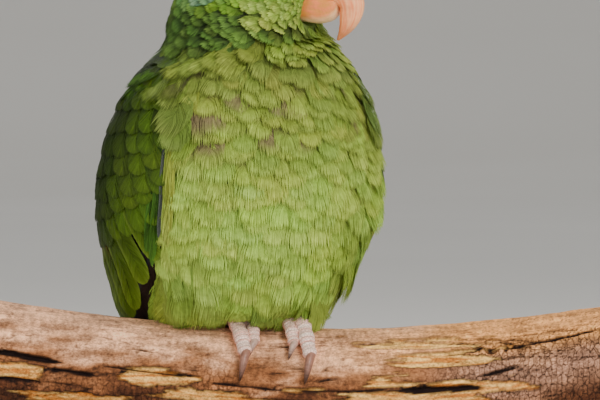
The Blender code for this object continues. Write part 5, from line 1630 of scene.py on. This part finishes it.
def buildStand():
    width, depth, height = stand["size"]
    corner, edge = stand["corner"], stand["edge"]
    bend = [(edge * (1 - math.sin(t)), edge * (1 - math.cos(t))) for t in np.linspace(0, math.pi / 2, 8)]
    rows = [(inset, low) for inset, low in bend] + [(inset, height - low) for inset, low in bend[::-1]]
    rows = [(30, 0.0), (12, 0.0), *rows, (12, height), (30, height)]
    rings = []
    for inset, z in rows:
        ring = []
        r = corner - min(inset, corner - 0.5)
        extra = max(0.0, inset - (corner - 0.5))
        reachX, reachY = width / 2 - corner - extra, depth / 2 - corner - extra
        for n, (sideX, sideY) in enumerate(((1, 1), (-1, 1), (-1, -1), (1, -1))):
            for t in np.radians(90 * n + np.linspace(0, 90, 24)):
                ring.append((sideX * reachX + r * math.cos(t), sideY * reachY + r * math.sin(t), z))
        rings.append(ring)
    rings = np.array(rings)
    plain = np.full(rings.shape, 0.5)
    piece = loftPiece("stand_base_board", rings * mm, finishes["wood"], plain, flip=False)
    for p in piece.data.polygons:
        p.use_smooth = abs(p.normal.z) < 0.98
    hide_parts("stand_base")
    for name, side in (("l", 1), ("r", -1)):
        x = side * stand["spread"]
        under = standing["perchTop"] + branchPoint(x, math.pi)[2]
        low, high, r = height - stand["inBase"], under + stand["inBranch"], stand["rod"]
        profile = ((r - 0.5, low), (r, low + 0.5), (r, (low + high) / 2), (r, high - 0.5), (r - 0.5, high))
        lathe(f"stand_rod_steel_{name}", profile, x, 56, f"stand_rod_{name}")
        r, bore, z = stand["collar"], stand["collarBore"], height + 0.05
        top = height + stand["collarHeight"]
        profile = ((bore, z), (r - 0.4, z), (r, z + 0.4), (r, top - 1.0), (r - 0.3, top - 0.35),
                   (r - 1.0, top), (6.2, top), (5.5, top - 0.5), (bore, top - 1.2))
        lathe(f"stand_collar_steel_{name}", profile, x, 64, f"stand_collar_{name}")


# metres, degrees and watts; each light has its name, place, size, power and colour
studio = {"target": (0.01575, 0.0, 0.1976), "distance": 1.7, "raise": 2.0, "width": 0.270, "sensor": 36.0,
          "lights": (("key", (0.95, -1.45, 1.3), 1.0, 31, (1.0, 0.94, 0.85)),
                     ("fill", (-1.5, -1.1, 0.6), 1.3, 8, (1.0, 0.97, 0.93)),
                     ("back", (-0.6, 1.5, 1.5), 1.4, 7, (1.0, 0.98, 0.95)),
                     ("low", (0.5, -1.8, 0.25), 1.0, 12, (1.0, 0.95, 0.88))),
          "sky": (0.92, 0.93, 0.92), "skyStrength": 0.62,
          # the floor's radius and height, from its middle to where it has curved up all round
          "floor": ((0.001, 0), (0.4, 0), (1.0, 0), (2.0, 0), (4.0, 0), (6.0, 0), (7.0, 0.08),
                    (7.6, 0.35), (7.9, 0.9), (8.0, 1.8), (8.0, 3.4))}


def buildStudio():
    a = np.linspace(0, 2 * np.pi, 96, endpoint=False)
    rings = np.array([[(r * math.cos(t), r * math.sin(t), h) for t in a] for r, h in studio["floor"]])
    faces = gridFaces(len(rings), len(a))[:, ::-1]
    floor = meshPiece("studio_floor", rings.reshape(-1, 3), faces, finishes["paper"], body=None)
    scene = bpy.context.scene
    world = bpy.data.worlds.new("sky")
    world.use_nodes = True
    sky = world.node_tree.nodes["Background"].inputs
    sky[0].default_value = (*studio["sky"], 1)
    sky[1].default_value = studio["skyStrength"]
    scene.world = world
    target = Vector(studio["target"])
    for name, place, size, power, colour in studio["lights"]:
        light = bpy.data.lights.new(name, "AREA")
        light.shape, light.size, light.energy, light.color = "DISK", size, power, colour
        lamp = bpy.data.objects.new(name, light)
        lamp.location = place
        lamp.rotation_mode = "QUATERNION"
        lamp.rotation_quaternion = (target - Vector(place)).to_track_quat("-Z", "Y")
        scene.collection.objects.link(lamp)
    camera = bpy.data.cameras.new("camera")
    camera.sensor_width = studio["sensor"]
    camera.lens = studio["sensor"] * studio["distance"] / studio["width"]
    camera.clip_start, camera.clip_end = 0.05, 50
    view = bpy.data.objects.new("camera", camera)
    up = math.radians(studio["raise"])
    back = Vector((0, -math.cos(up), math.sin(up)))
    view.location = target + back * studio["distance"]
    view.rotation_mode = "QUATERNION"
    view.rotation_quaternion = (-back).to_track_quat("-Z", "Y")
    scene.collection.objects.link(view)
    scene.camera = view


shadeMaterials()
print("materials made")
buildStudio()
skin = Skin()
skin.build()
print("skin", len(skin.faces))
buildBodyCoat(skin)
buildWing(-1, skin)
buildWing(1, skin)
buildTail(skin)
print("coat", coatCount)
buildBill()
for side in (-1, 1):
    buildEye(side, skin)
print("bill and eyes made")
buildBranch()
for name in ("r", "l"):
    buildFoot(name)
buildStand()
print("perch, feet and stand made")
